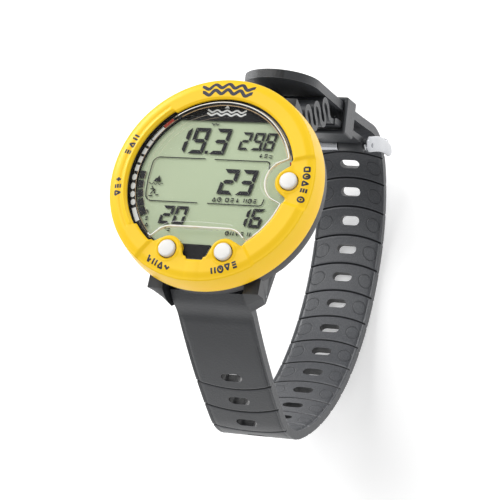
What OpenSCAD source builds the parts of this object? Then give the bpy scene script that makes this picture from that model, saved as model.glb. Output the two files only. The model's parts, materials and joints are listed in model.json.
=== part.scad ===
// Wrist dive computer: round case in a soft boot, three buttons, battery bay, rubber strap with bellows.
// +Z out of the dial, +Y to twelve o'clock, +X to three o'clock. Origin: centre of the case back.

/* [Case] */
// Height of the dial's outer edge above the case back
dial_h = 27.2; // [24:0.1:34]
// Radius of the case's widest flange
case_r = 39; // [36:0.5:46]
// Radius of the case back
back_r = 31; // [28:0.5:34]
// Height of the flange's lower edge
flange_z = 11.4; // [10:0.1:13]
// Height of the flange's top, where the boot sits
flange_top = 17.4; // [15.5:0.1:19]
// Radius of the case wall under the boot
wall_r = 36.2; // [34.5:0.1:37]
// Thickness of the case floor
floor_t = 8; // [7.6:0.1:9]
// Height of the seat under the clear cover
seat_z = 24.4; // [23.5:0.1:26]
// Radius of the seat that holds the cover
seat_r = 32.6; // [32:0.1:33.5]
// Radius of the hollow that holds the display
hollow_r = 30.2; // [29:0.1:31]
// Radius of the hollow under the board
bay_r = 27; // [26.5:0.1:28]

/* [Boot] */
// Radius of the boot's lower edge
boot_r = 40; // [37:0.5:48]
// Radius of the crease round the boot's top face
crease_r = 38.9; // [36:0.1:46]
// Radius of the boot's window
window_r = 31.3; // [30.6:0.1:32]
// Height of the boot's top face above the crease
boot_rise = 0.8; // [0.3:0.1:1.5]
// Radius of the boot round each button
lobe_r = 5.2; // [4.6:0.1:5.6]

/* [Cover] */
// Radius of the cover's raised face
lens_r = 30; // [28:0.1:30.5]
// Height of the raised face above the dial's edge
lens_rise = 0.5; // [0.2:0.1:1]
// Thickness of the cover's outer flange
lens_flange = 2; // [1.5:0.1:2.2]
// Radius of the cut in the raised face round a button
notch_r = 8.7; // [7:0.1:9]

/* [Buttons] */
// Distance from the dial's centre to a button
button_pitch = 30; // [29.5:0.1:30.5]
// Radius of a button's head
button_r = 3.2; // [2.6:0.1:3.4]
// Height of a head above the dial's edge
button_rise = 1.7; // [1.2:0.1:2.5]
// Travel of a button
button_travel = 1; // [0.6:0.1:1.2]
// Radius of a button's stem
stem_r = 1.5; // [1.2:0.1:1.7]
// Direction of the two lower buttons, from six o'clock
button_fan = 21; // [20:1:24]

/* [Display] */
// Width of the display glass
lcd_w = 54; // [50:0.5:56]
// Height of the display glass
lcd_h = 48.4; // [44:0.2:50]
// Thickness of the display glass
lcd_t = 2; // [1.6:0.1:2.4]
// Thickness of the printed mask
mask_t = 0.3; // [0.2:0.1:0.5]
// Thickness of the circuit board
board_t = 1.2; // [0.8:0.1:1.6]
// Height of the board's underside
board_z = 15.2; // [14:0.1:15.6]

/* [Battery] */
// Radius of the coin cell
cell_r = 12.25; // [10:0.05:12.5]
// Thickness of the coin cell
cell_t = 5; // [3.2:0.1:5.2]
// Radius of the lock ring
ring_r = 17.5; // [17:0.1:20]
// Thickness of the lock ring
ring_t = 1.2; // [1:0.1:1.6]
// Thickness of the battery lid
lid_t = 1.9; // [1.6:0.1:2.2]

/* [Lugs] */
// Width of the strap
strap_w = 30; // [24:0.5:32]
// Width of one lug
lug_w = 5.8; // [4.5:0.1:7]
// Distance from the dial's centre to a strap pin
pin_y = 34.5; // [33.5:0.1:37]
// Height of the strap pins above the case back
pin_z = 2; // [1:0.1:3]
// Radius of the strap pins
pin_r = 1.1; // [0.8:0.05:1.3]
// Radius of the strap's eye
eye_r = 3.4; // [3:0.1:3.8]

/* [Strap] */
// Thickness of the long strap
strap_t = 3.4; // [2.4:0.1:3.8]
// Lean of the long strap where it leaves its pin
strap_lean = -34; // [-36:1:-32]
// Length of the front of the long strap
front_len = 61; // [60:0.5:62]
// Length of the long strap under the wrist
under_len = 123; // [122:0.5:124]
// Length of the tail past the buckle
tail_len = 83; // [70:1:95]
// Distance from one strap slot to the next
slot_pitch = 12.75; // [12.5:0.05:13]
// Width of a strap slot
slot_w = 8.7; // [7:0.1:10]
// Height of a strap slot
slot_h = 4; // [3.6:0.1:4]
// Thickness of the short strap
short_t = 2.6; // [2:0.1:2.8]
// Thickness of the bellows' wall
fold_t = 1.8; // [1.4:0.1:2.2]
// Swing of the bellows' wall, which sets how deep the folds are
fold_swing = 99; // [80:1:102]

/* [Buckle] */
// Distance of the buckle pin from the dial's centre
buckle_y = 64; // [63.5:0.1:64.5]
// Height of the buckle pin, below the case back
buckle_z = -82.3; // [-83:0.1:-81.5]
// Radius of the buckle pin
axle_r = 1; // [0.8:0.05:1.2]
// Radius of the tubes round the buckle pin
tube_r = 2.75; // [2.5:0.05:3]
// Thickness of a buckle arm
arm_t = 2.5; // [1.8:0.1:3]
// Radius of the buckle's cross bar
bar_r = 1.6; // [1.3:0.1:1.8]
// Thickness of the prong
prong_t = 2.2; // [1.6:0.1:2.3]
// Width of the prong
prong_w = 3.6; // [2.6:0.1:5]
// Wall of the keeper
keeper_t = 1.6; // [1.2:0.1:2]
// Length of the keeper along the strap
keeper_h = 11; // [8:0.5:12]
// Slide of the keeper along the strap
keeper_slide = 7; // [4:0.5:8]

/* [Fits] */
// Radial running clearance of pins and stems
run_gap = 0.05; // [0.02:0.01:0.1]
// Clearance between pieces that pass each other
side_gap = 0.3; // [0.2:0.05:0.5]
// Clearance of a pressed or glued seat
seat_gap = 0.02; // [0.01:0.01:0.05]

/* [Hidden] */
$fn = 96;
eps = 0.01;

dial_top = dial_h + boot_rise;
lens_top = dial_h + lens_rise;
head_top = dial_h + button_rise;
head_low = seat_z + 0.8;
well_low = seat_z - 2;
boss_low = seat_z - 4.8;
switch_h = 1;
stem_low = board_z + board_t + switch_h + button_travel + 0.1;
lobe_gap = 0.25;
boss_r = lobe_r - 0.3;
ear_r = 3.8;
head_bore = button_r + lobe_gap;
mode_a = 0;
plan_a = -90 - button_fan;
time_a = -90 + button_fan;
button_as = [mode_a, plan_a, time_a];
lug_x = strap_w / 2 + side_gap + 0.4;
lug_out = lug_x + lug_w;
lid_r = cell_r + 1.9;
post_c = 18;
post_r = 2.5;
screw_r = 0.9;
mask_z = seat_z - mask_t;
lcd_z = mask_z - lcd_t;

// Strap route: arcs laid end to end, each a length and a turn, walked from the lower pin.
route_y = -pin_y - 2.4;
route_z = pin_z + 0.7;
turns = [12.5, 45.4, 74.1, 32.2, 62.9, -4.5];
heel_len = 19.7;
rise_len = 33.9;
bend_len = 27.7;
arcs = [front_len, heel_len, under_len, rise_len, bend_len, tail_len];
function total(v, i = 0) = i < len(v) ? v[i] + total(v, i + 1) : 0;
function arc_y(a, t, l) = abs(t) < 0.01 ? l * sin(a) : l * 180 / (PI * t) * (cos(a) - cos(a + t));
function arc_z(a, t, l) = abs(t) < 0.01 ? -l * cos(a) : -l * 180 / (PI * t) * (sin(a + t) - sin(a));
function walk(s, i = 0, p = [route_y, route_z, strap_lean]) =
    let (l = arcs[i], t = turns[i])
    (s <= l || i == len(arcs) - 1)
        ? [p[0] + arc_y(p[2], t * s / l, s), p[1] + arc_z(p[2], t * s / l, s), p[2] + t * s / l]
        : walk(s - l, i + 1, [p[0] + arc_y(p[2], t, l), p[1] + arc_z(p[2], t, l), p[2] + t]);
function side(p, d) = [p[0] - d * cos(p[2]), p[1] - d * sin(p[2])];
total_len = total(arcs);
steps = 150;
strap_line = [for (i = [0:steps]) walk(total_len * i / steps)];
// The strap passes the buckle pin squarely here, and the slot that the prong holds lies half a pitch below.
buckle_s = total_len - tail_len;
function pin_gap(s) = let (p = walk(s)) norm([p[0] - buckle_y, p[1] - buckle_z]);
tries = [for (d = [-12:0.1:16]) [pin_gap(buckle_s + d), buckle_s + d]];
nearest = min([for (t = tries) t[0]]);
held_s = [for (t = tries) if (t[0] == nearest) t[1]][0];
slot_s = held_s - slot_pitch / 2;
prong_at = walk(slot_s - 0.3);

// Where the short strap leaves the bellows, and the keeper's place on it
short_top = [58.5, -48.6];
keeper_s = held_s + 26;
keeper_mid = walk(keeper_s);
keeper_c = [keeper_mid[0], keeper_mid[1]];
keeper_a = keeper_mid[2] - 180;
keeper_x = strap_w / 2 + side_gap;

// Bellows: the wall's heading swings to and fro along its length, which lays it in even folds.
fold_0 = [39.5, -17.9];
fold_3 = [55.7, -41.6];
fold_n = 3;
fold_shear = -0.35;
fold_dir = (fold_3 - fold_0) / norm(fold_3 - fold_0);
fold_out = [-fold_dir[1], fold_dir[0]];
fold_len = norm(fold_3 - fold_0);
fold_steps = 24 * fold_n;
function swing(i) = fold_swing * sin(360 * fold_n * (i + 0.5) / fold_steps);
fold_raw = [for (i = 0, p = [0, 0]; i <= fold_steps; p = p + [cos(swing(i)), sin(swing(i))], i = i + 1) p];
fold_scale = fold_len / fold_raw[fold_steps][0];
fold_mid = [for (p = fold_raw)
    fold_0 + fold_dir * fold_scale * (p[0] + fold_shear * p[1]) + fold_out * fold_scale * p[1]];
short_join = short_top + 0.25 * (fold_3 - short_top);
eye_join = [37.4, -9.4];
fold_line = concat([eye_join, (eye_join + fold_0) / 2], fold_mid, [short_join]);
function unit(v) = v / norm(v);
function edge(l, i, d) =
    let (a = l[max(i - 1, 0)], b = l[min(i + 1, len(l) - 1)], t = unit(b - a))
    l[i] + d * [-t[1], t[0]];
function ribbon(l, w) = concat([for (i = [0:len(l) - 1]) edge(l, i, w / 2)],
                               [for (i = [len(l) - 1:-1:0]) edge(l, i, -w / 2)]);

// Draws a child laid out in Y (first) and Z (second), spread along X by w.
module along_x(w) {
    rotate([90, 0, 90])
        translate([0, 0, -w / 2])
            linear_extrude(w)
                children();
}

module at_angle(a) {
    rotate([0, 0, a])
        translate([button_pitch, 0, 0])
            children();
}

module x_rod(y, z, r, w) {
    translate([-w / 2, y, z])
        rotate([0, 90, 0])
            cylinder(r = r, h = w);
}

// ---- Case ----
module case_shell() {
    rotate_extrude()
        polygon([[0, 0], [back_r, 0], [back_r + 1.6, 1.2], [case_r - 0.8, flange_z - 1], [case_r, flange_z + 1],
                 [case_r, flange_top - 0.6], [case_r - 0.6, flange_top], [wall_r, flange_top],
                 [wall_r, dial_h - 1], [wall_r - 0.4, dial_h - 0.6], [0, dial_h - 0.6]]);
}

module lug_outline() {
    polygon([[-pin_y + 14, flange_z + 3], [-case_r + 0.6, flange_z + 3], [-pin_y - 6.3, flange_z - 2.4],
             [-pin_y - 6.7, pin_z + 1.2], [-pin_y - 4, pin_z - 3.4], [-pin_y - 0.5, pin_z - 4.6],
             [-pin_y + 5, pin_z - 3.8], [-pin_y + 14, 0]]);
}

module lug_pair() {
    for (s = [-1, 1])
        translate([s * (lug_x + lug_w / 2), 0, 0])
            along_x(lug_w)
                lug_outline();
}

module case_body() {
    eye_room = 8.5;
    sensor_y = 23;
    color("#1d1e20")
    difference() {
        union() {
            case_shell();
            lug_pair();
            mirror([0, 1, 0])
                lug_pair();
        }
        // display hollow and board bay, with bosses and posts left standing
        difference() {
            union() {
                translate([0, 0, flange_z + 1])
                    cylinder(r = hollow_r, h = dial_h);
                translate([0, 0, floor_t])
                    cylinder(r = bay_r, h = dial_h);
            }
            for (a = button_as)
                at_angle(a)
                    translate([0, 0, boss_low])
                        cylinder(r = boss_r, h = dial_h);
            for (x = [-post_c, post_c])
                for (y = [-post_c, post_c])
                    translate([x, y, floor_t - eps])
                        cylinder(r = post_r, h = board_z - floor_t + eps);
        }
        translate([0, 0, seat_z])
            cylinder(r = seat_r, h = dial_h);
        for (a = button_as)
            at_angle(a) {
                translate([0, 0, seat_z + eps])
                    cylinder(r = lobe_r + side_gap, h = dial_h);
                translate([0, 0, well_low])
                    cylinder(r = head_bore, h = dial_h);
                translate([0, 0, boss_low - 1])
                    cylinder(r = stem_r + run_gap, h = dial_h);
                translate([0, 0, board_z])
                    cylinder(r = ear_r + side_gap, h = boss_low - board_z);
            }
        for (x = [-post_c, post_c])
            for (y = [-post_c, post_c])
                translate([x, y, floor_t + 2])
                    cylinder(r = screw_r + run_gap, h = dial_h);
        // battery bay, lid seat, lock ring groove
        translate([0, 0, -1])
            cylinder(r = cell_r + 0.1, h = 1 + lid_t + cell_t + seat_gap);
        translate([0, 0, -1])
            cylinder(r = lid_r + 0.1, h = 1 + lid_t + seat_gap);
        translate([0, 0, -1])
            cylinder(r = ring_r + 0.1, h = 1 + ring_t + seat_gap);
        translate([0, 0, 0.5])
            cylinder(r = ring_r + 1.1, h = ring_t - 0.5 + seat_gap);
        for (a = [0, 120, 240])
            rotate([0, 0, a + 40])
                lock_tab(1.2, -1, ring_t + 1);
        for (x = [-4, 4])
            translate([x, 0, 0])
                cylinder(r = 0.8 + seat_gap, h = dial_h);
        // sensor port and water contacts
        translate([0, -sensor_y, -1])
            cylinder(r = 1.6, h = dial_h);
        translate([0, -sensor_y, floor_t - 2.2])
            cylinder(r = 3.6, h = dial_h);
        for (y = [-5, 0, 5])
            translate([-24, y, -1])
                cylinder(r = 1 + seat_gap, h = dial_h);
        // room for the strap's eyes, and holes for the pins
        for (s = [-1, 1]) {
            x_rod(s * pin_y, pin_z, eye_room, 2 * lug_x);
            x_rod(s * pin_y, pin_z, pin_r + seat_gap, 2 * lug_out + 1);
        }
    }
}

module bezel_boot() {
    color("#f6c51c")
    difference() {
        union() {
            rotate_extrude()
                polygon([[boot_r, flange_top + 0.2], [boot_r - 0.2, flange_top + 3], [crease_r + 0.15, dial_h - 1],
                         [crease_r, dial_h], [crease_r - 1.2, dial_top - 0.1], [crease_r - 3, dial_top],
                         [window_r + 1.2, dial_top - 0.1], [window_r, dial_h],
                         [window_r, dial_h - 0.58], [wall_r + seat_gap, dial_h - 0.58],
                         [wall_r + seat_gap, flange_top + seat_gap], [boot_r - 0.4, flange_top + seat_gap]]);
            for (a = button_as)
                at_angle(a)
                    translate([0, 0, seat_z + seat_gap])
                        cylinder(r = lobe_r, h = dial_top - seat_z - 0.2);
        }
        for (a = button_as)
            at_angle(a)
                translate([0, 0, seat_z - 1])
                    cylinder(r = head_bore, h = dial_h);
        // shallow panels behind the buttons
        translate([window_r + 1.8, -7.6, dial_top - 0.35])
            cube([crease_r - window_r, 15.2, 2]);
        intersection() {
            translate([0, 0, dial_top - 0.35])
                linear_extrude(2)
                    polygon([[0, 0], [-34, -50], [34, -50]]);
            difference() {
                cylinder(r = crease_r, h = 2 * dial_h);
                cylinder(r = window_r + 3.2, h = 2 * dial_h);
            }
        }
    }
}

module display_cover() {
    color([0.9, 0.95, 0.95, 0.3])
    difference() {
        union() {
            translate([0, 0, seat_z + 0.4])
                cylinder(r = seat_r - 0.1, h = lens_flange - 0.4);
            translate([0, 0, seat_z + seat_gap])
                cylinder(r = hollow_r, h = lens_flange - seat_gap);
            difference() {
                translate([0, 0, seat_z + lens_flange - eps])
                    cylinder(r = lens_r, h = lens_top - seat_z - lens_flange);
                at_angle(mode_a)
                    cylinder(r = notch_r, h = 2 * dial_h);
                for (a = [plan_a, time_a])
                    at_angle(a)
                        cylinder(r = notch_r, h = 2 * dial_h);
                translate([-button_pitch * sin(button_fan), -2 * button_pitch, 0])
                    cube([2 * button_pitch * sin(button_fan),
                          2 * button_pitch - button_pitch * cos(button_fan) + notch_r - 0.06, 2 * dial_h]);
            }
        }
        for (a = button_as)
            at_angle(a)
                cylinder(r = lobe_r + side_gap, h = 2 * dial_h);
    }
}

// Thin gasket in the step under the cover's rim, open where the buttons pass.
module cover_gasket() {
    color("#2b2b2b")
    difference() {
        translate([0, 0, seat_z + seat_gap])
            cylinder(r = seat_r - 0.1, h = 0.4 - 2 * seat_gap);
        translate([0, 0, seat_z - 1])
            cylinder(r = hollow_r + seat_gap, h = 3);
        for (a = button_as)
            at_angle(a)
                cylinder(r = lobe_r + side_gap, h = 2 * dial_h);
    }
}

module round_plate(r, z, t, gap) {
    difference() {
        translate([0, 0, z])
            cylinder(r = r, h = t);
        for (a = button_as)
            at_angle(a)
                cylinder(r = lobe_r + gap, h = 2 * dial_h);
    }
}

module dial_mask() {
    color("#101012")
    difference() {
        round_plate(hollow_r - 0.2, mask_z + seat_gap, mask_t - seat_gap, side_gap);
        // window: the disc between the top and bottom edges of the display
        intersection() {
            translate([0, 0, mask_z - 1])
                cylinder(r = hollow_r - 1.6, h = 3);
            translate([-26.5, -lcd_h / 2 - 0.4, mask_z - 1])
                cube([60, lcd_h - 0.1, 3]);
        }
    }
}

module lcd_glass() {
    color("#b0c19b")
    intersection() {
        round_plate(hollow_r - 0.4, lcd_z, lcd_t, side_gap);
        translate([-lcd_w / 2, -lcd_h / 2 - 0.4, 0])
            cube([lcd_w, lcd_h, 2 * dial_h]);
    }
}

// Frame that carries the glass on the board.
module lcd_holder() {
    color("#e8e8e2")
    difference() {
        round_plate(hollow_r - 0.3, board_z + board_t + seat_gap, lcd_z - board_z - board_t - 2 * seat_gap, side_gap);
        translate([-24, -19.5, 0])
            cube([48, 39, 2 * dial_h]);
        for (y = [-21.5, 21.5])
            translate([-18, y - 1.2, 0])
                cube([36, 2.4, 2 * dial_h]);
        for (x = [-post_c, post_c])
            for (y = [-post_c, post_c])
                translate([x, y, 0])
                    cylinder(r = post_r, h = 2 * dial_h);
        for (a = button_as)
            at_angle(a)
                cylinder(r = lobe_r + 0.6, h = 2 * dial_h);
    }
}

module contact_strips() {
    color("#c98a9a")
    for (y = [-21.5, 21.5])
        translate([-17.5, y - 1, board_z + board_t + seat_gap])
            cube([35, 2, lcd_z - board_z - board_t - 2 * seat_gap]);
}

module circuit_board() {
    color("#1f6b3a")
    difference() {
        translate([0, 0, board_z + seat_gap]) {
            cylinder(r = hollow_r - 0.3, h = board_t - seat_gap);
            for (a = button_as)
                at_angle(a)
                    cylinder(r = ear_r, h = board_t - seat_gap);
        }
        for (x = [-post_c, post_c])
            for (y = [-post_c, post_c])
                translate([x, y, 0])
                    cylinder(r = screw_r + 0.15, h = 2 * dial_h);
    }
}

module board_screws() {
    color("#b8bcc0")
    for (x = [-post_c, post_c])
        for (y = [-post_c, post_c])
            translate([x, y, 0])
                difference() {
                    union() {
                        translate([0, 0, board_z + board_t + seat_gap])
                            cylinder(r = 1.8, h = 1.1);
                        translate([0, 0, floor_t + 3])
                            cylinder(r = screw_r, h = board_z + board_t - floor_t - 2.9);
                    }
                    translate([-1.2, -0.2, board_z + board_t + 0.7])
                        cube([2.4, 0.4, 1]);
                }
}

module button_switches() {
    color("#c9c9c9")
    for (a = button_as)
        at_angle(a)
            translate([-2, 0, board_z + board_t + seat_gap]) {
                translate([-0.3, -2, 0])
                    cube([3.4, 4, switch_h - 0.5]);
                translate([1.5, 0, switch_h - 0.5 - eps])
                    cylinder(r = 1.1, h = 0.4);
            }
}

module button(a) {
    color("#f4f4f2")
    at_angle(a)
        difference() {
            union() {
                translate([0, 0, head_low])
                    cylinder(r = button_r, h = head_top - head_low - 0.5);
                translate([0, 0, head_top - 0.5 - eps])
                    cylinder(r1 = button_r, r2 = button_r - 0.45, h = 0.5 + eps);
                translate([0, 0, stem_low])
                    cylinder(r = stem_r, h = head_low - stem_low + eps);
            }
            // grooves for the seal ring and the clip
            translate([0, 0, boss_low + 1])
                groove_ring(0.9);
            translate([0, 0, boss_low - 0.75])
                groove_ring(0.6);
        }
}

module groove_ring(h) {
    difference() {
        cylinder(r = stem_r + 1, h = h);
        translate([0, 0, -1])
            cylinder(r = stem_r - 0.5, h = h + 2);
    }
}

module button_mode() { button(mode_a); }
module button_plan() { button(plan_a); }
module button_time() { button(time_a); }

// Spring wire swept along a helix: turns, then one closed mesh.
coil_n = 3;
coil_k = 14;
coil_r = 2.4;
coil_low = well_low + 0.22;
coil_high = head_low - 0.22;
function coil_pt(i, j) =
    let (a = 360 * i / coil_k, b = 360 * j / 6, z = coil_low + (coil_high - coil_low) * i / (coil_k * coil_n))
    [(coil_r + 0.2 * cos(b)) * cos(a), (coil_r + 0.2 * cos(b)) * sin(a), z + 0.2 * sin(b)];
module coil() {
    m = coil_k * coil_n;
    pts = [for (i = [0:m]) for (j = [0:5]) coil_pt(i, j)];
    walls = [for (i = [0:m - 1]) for (j = [0:5])
        [i * 6 + j, (i + 1) * 6 + j, (i + 1) * 6 + (j + 1) % 6, i * 6 + (j + 1) % 6]];
    polyhedron(pts, concat(walls, [[0, 1, 2, 3, 4, 5]], [[m * 6 + 5, m * 6 + 4, m * 6 + 3, m * 6 + 2, m * 6 + 1, m * 6]]));
}

module button_spring(a) {
    color("#9aa0a6")
    at_angle(a)
        coil();
}
module spring_mode() { button_spring(mode_a); }
module spring_plan() { button_spring(plan_a); }
module spring_time() { button_spring(time_a); }

module button_seal(a) {
    color("#222222")
    at_angle(a)
        translate([0, 0, boss_low + 1.45])
            rotate_extrude()
                translate([stem_r - 0.23, 0])
                    circle(r = 0.25, $fn = 24);
}
module seal_mode() { button_seal(mode_a); }
module seal_plan() { button_seal(plan_a); }
module seal_time() { button_seal(time_a); }

module button_clip(a) {
    color("#aab0b5")
    at_angle(a)
        translate([0, 0, boss_low - 0.7])
            difference() {
                cylinder(r = stem_r + 0.9, h = 0.5);
                translate([0, 0, -1])
                    cylinder(r = stem_r - 0.48, h = 3);
                translate([0, -0.9, -1])
                    cube([5, 1.8, 3]);
            }
}
module clip_mode() { button_clip(mode_a); }
module clip_plan() { button_clip(plan_a); }
module clip_time() { button_clip(time_a); }

// ---- Battery bay ----
module battery_cell() {
    color("#c8ccd0")
    translate([0, 0, lid_t]) {
        cylinder(r = cell_r - 0.6, h = 0.7);
        translate([0, 0, 0.7 - eps])
            cylinder(r = cell_r, h = cell_t - 0.7);
    }
}

module battery_pins() {
    color("#d9b25a")
    for (x = [-4, 4])
        translate([x, 0, lid_t + cell_t])
            cylinder(r = 0.8, h = board_z - lid_t - cell_t);
}

module battery_lid() {
    color("#26272a")
    difference() {
        union() {
            cylinder(r = ring_r - 4.4, h = lid_t - seat_gap);
            translate([0, 0, ring_t - 0.4])
                cylinder(r = lid_r, h = lid_t - ring_t + 0.4 - seat_gap);
        }
        translate([0, 0, ring_t])
            difference() {
                cylinder(r = lid_r + 1, h = 0.55);
                translate([0, 0, -1])
                    cylinder(r = lid_r - 0.6, h = 3);
            }
    }
}

module lid_gasket() {
    color("#161616")
    translate([0, 0, ring_t + 0.27])
        rotate_extrude()
            translate([lid_r - 0.3, 0])
                circle(r = 0.25, $fn = 24);
}

module lock_tab(grow, z, h) {
    intersection() {
        translate([0, 0, z])
            cylinder(r = ring_r + grow, h = h);
        rotate([0, 0, -9 - grow])
            cube([40, 40, 2 * h], center = false);
        rotate([0, 0, -81 + grow])
            translate([0, 0, -h])
                cube([40, 40, 4 * h]);
    }
}

module lock_ring() {
    color("#303236")
    difference() {
        union() {
            translate([0, 0, 0])
                cylinder(r = ring_r, h = 0.75);
            for (a = [0, 120, 240])
                rotate([0, 0, a])
                    lock_tab(0.9, 0.52, ring_t - 0.9);
        }
        translate([0, 0, -1])
            cylinder(r = ring_r - 4.3, h = 4);
        for (a = [30, 150, 270])
            rotate([0, 0, a])
                translate([ring_r - 2.2, 0, -1])
                    cylinder(r = 0.9, h = 3);
    }
}

// ---- Sensors ----
module pressure_sensor() {
    color("#b9bdc2")
    translate([0, -23, 0]) {
        translate([0, 0, floor_t - 1.4])
            cylinder(r = 3.4, h = board_z - floor_t + 1.4 - seat_gap);
        translate([0, 0, floor_t - 3.4])
            cylinder(r = 1.5, h = 2.1);
    }
}

module sensor_gasket() {
    color("#161616")
    translate([0, -23, floor_t - 1.8])
        rotate_extrude()
            translate([2.7, 0])
                circle(r = 0.38, $fn = 24);
}

module water_contacts() {
    color("#c9ccd0")
    for (y = [-5, 0, 5])
        translate([-24, y, 0.2])
            cylinder(r = 1, h = board_z - 0.2 - seat_gap);
}

module buzzer() {
    color("#d8b35a")
    translate([15, -2, floor_t]) {
        cylinder(r = 7.5, h = 0.4);
        cylinder(r = 5.5, h = 0.7);
    }
}

// ---- Strap ----
module strap_pins() {
    color("#c4c8cc")
    for (s = [-1, 1])
        x_rod(s * pin_y, pin_z, pin_r, 2 * lug_out - 2);
}

module strap_slot(s) {
    p = walk(s);
    translate([0, p[0], p[1]])
        rotate([p[2], 0, 0]) {
            cube([slot_w - slot_h, 3 * strap_t, slot_h], center = true);
            for (x = [-1, 1])
                translate([x * (slot_w - slot_h) / 2, 0, 0])
                    rotate([90, 0, 0])
                        cylinder(r = slot_h / 2, h = 3 * strap_t, center = true);
        }
}

module strap_groove(s) {
    p = walk(s);
    q = side(p, strap_t / 2);
    translate([0, q[0], q[1]])
        rotate([p[2], 0, 0])
            cube([strap_w + 2, 1, 0.7], center = true);
}

module strap_long() {
    tip = walk(total_len - strap_w / 2);
    color("#3a3c40")
    difference() {
        union() {
            along_x(strap_w)
                polygon(concat([for (p = strap_line) side(p, strap_t / 2)],
                               [for (i = [steps:-1:0]) side(strap_line[i], -strap_t / 2)]));
            x_rod(-pin_y, pin_z, eye_r, strap_w);
            along_x(strap_w)
                polygon([side(walk(5), strap_t / 2), [-pin_y - 5.8, pin_z + 5.2], [-pin_y - 3.4, pin_z + 6.4],
                         [-pin_y, pin_z + 2], side(walk(5), -strap_t / 2)]);
        }
        x_rod(-pin_y, pin_z, pin_r + run_gap, strap_w + 2);
        for (k = [-18:2])
            strap_slot(slot_s + k * slot_pitch);
        for (k = [-18:-2])
            strap_groove(slot_s + (k + 0.5) * slot_pitch);
        // rounded tip
        translate([0, tip[0], tip[1]])
            rotate([tip[2] - 180, 0, 0])
                difference() {
                    translate([-strap_w, -2 * strap_t, 0])
                        cube([2 * strap_w, 4 * strap_t, strap_w]);
                    rotate([90, 0, 0])
                        cylinder(r = strap_w / 2, h = 5 * strap_t, center = true);
                }
    }
}

module short_eye() {
    color("#3a3c40")
    difference() {
        union() {
            x_rod(pin_y, pin_z, eye_r, strap_w);
            along_x(strap_w)
                polygon(ribbon([[pin_y + 0.8, pin_z], [37, -7], eye_join - 0.3 * unit(eye_join - [37, -7])], short_t));
        }
        x_rod(pin_y, pin_z, pin_r + run_gap, strap_w + 2);
    }
}

module short_bellows() {
    color("#34363a")
    along_x(strap_w - 0.4)
        polygon(ribbon(fold_line, fold_t));
}

module short_end() {
    low = [buckle_y, buckle_z];
    color("#3a3c40")
    difference() {
        union() {
            x_rod(buckle_y, buckle_z, tube_r, strap_w);
            along_x(strap_w)
                polygon(ribbon([short_join + 0.3 * unit(low - short_join), low], short_t));
        }
        x_rod(buckle_y, buckle_z, axle_r + run_gap, strap_w + 2);
        x_rod(buckle_y, buckle_z, tube_r + side_gap, 2 * prong_half + 2 * side_gap);
    }
}

// ---- Buckle ----
prong_half = 3.8;
arm_in = strap_w / 2 + 1;
bar_s = held_s - 23.4;
bar_p = walk(bar_s);
bar_c = side(bar_p, strap_t / 2 + bar_r + side_gap);
tongue_out = strap_t / 2 + prong_t / 2 + side_gap + 0.2;

module buckle_pin() {
    color("#c4c8cc")
    x_rod(buckle_y, buckle_z, axle_r, 2 * (arm_in + arm_t) - 0.4);
}

module arm_outline() {
    translate([buckle_y, buckle_z])
        circle(r = tube_r + 0.3);
    translate(bar_c)
        circle(r = bar_r + 0.6);
    polygon([[buckle_y - 2.2, buckle_z - 2], [buckle_y + 2, buckle_z + 2.2], [buckle_y + 6.4, buckle_z - 4],
             [buckle_y + 9.4, buckle_z - 11], [buckle_y + 11.2, buckle_z - 18],
             [bar_c[0] + bar_r + 0.55, bar_c[1] + 0.2], [bar_c[0] - bar_r - 0.4, bar_c[1] - 0.6],
             [bar_c[0] - 4.2, bar_c[1] + 5], [buckle_y + 3.6, buckle_z - 11]]);
}

module buckle_frame() {
    color("#d0d4d8")
    difference() {
        union() {
            for (s = [-1, 1])
                translate([s * (arm_in + arm_t / 2), 0, 0])
                    along_x(arm_t)
                        arm_outline();
            x_rod(bar_c[0], bar_c[1], bar_r, 2 * arm_in + arm_t);
        }
        x_rod(buckle_y, buckle_z, axle_r + run_gap, 2 * strap_w);
    }
}

module buckle_prong() {
    out = side(prong_at, tongue_out);
    knee = side(prong_at, -strap_t / 2 - prong_t / 2 - side_gap);
    root = [buckle_y, buckle_z];
    tip = side(bar_p, strap_t / 2 + 2 * bar_r + side_gap + prong_t / 2 + 0.4);
    color("#ccd0d4")
    difference() {
        union() {
            x_rod(buckle_y, buckle_z, tube_r, 2 * prong_half);
            along_x(prong_w)
                polygon(ribbon([root, knee, out], prong_t));
            x_rod(out[0], out[1], prong_t / 2, prong_w);
            along_x(prong_w)
                polygon(ribbon([out, side(walk(slot_s - 7), tongue_out + 1.6), tip], prong_t));
            x_rod(tip[0], tip[1], prong_t / 2, prong_w);
        }
        x_rod(buckle_y, buckle_z, axle_r + run_gap, strap_w);
    }
}

// ---- Keeper: a sleeve round the short strap and the tail ----
module strap_keeper() {
    short_a = atan2(buckle_y - short_join[0], short_join[1] - buckle_z);
    base_y = short_join[0] + (short_join[1] - keeper_c[1]) * tan(short_a);
    tilt_gap = (keeper_h / 2 + keeper_slide) * tan(abs(keeper_a - short_a));
    inner = (keeper_c[0] - base_y) * cos(keeper_a) + short_t / 2 + side_gap + tilt_gap;
    outer = strap_t / 2 + side_gap + 0.2;
    color("#3c3e42")
    translate([0, keeper_c[0], keeper_c[1]])
        rotate([keeper_a, 0, 0])
            difference() {
                translate([-keeper_x - keeper_t, -inner - keeper_t, -keeper_h / 2])
                    cube([2 * keeper_x + 2 * keeper_t, inner + outer + 2 * keeper_t, keeper_h]);
                translate([-keeper_x, -inner, -keeper_h])
                    cube([2 * keeper_x, inner + outer, 2 * keeper_h]);
            }
}

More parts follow.
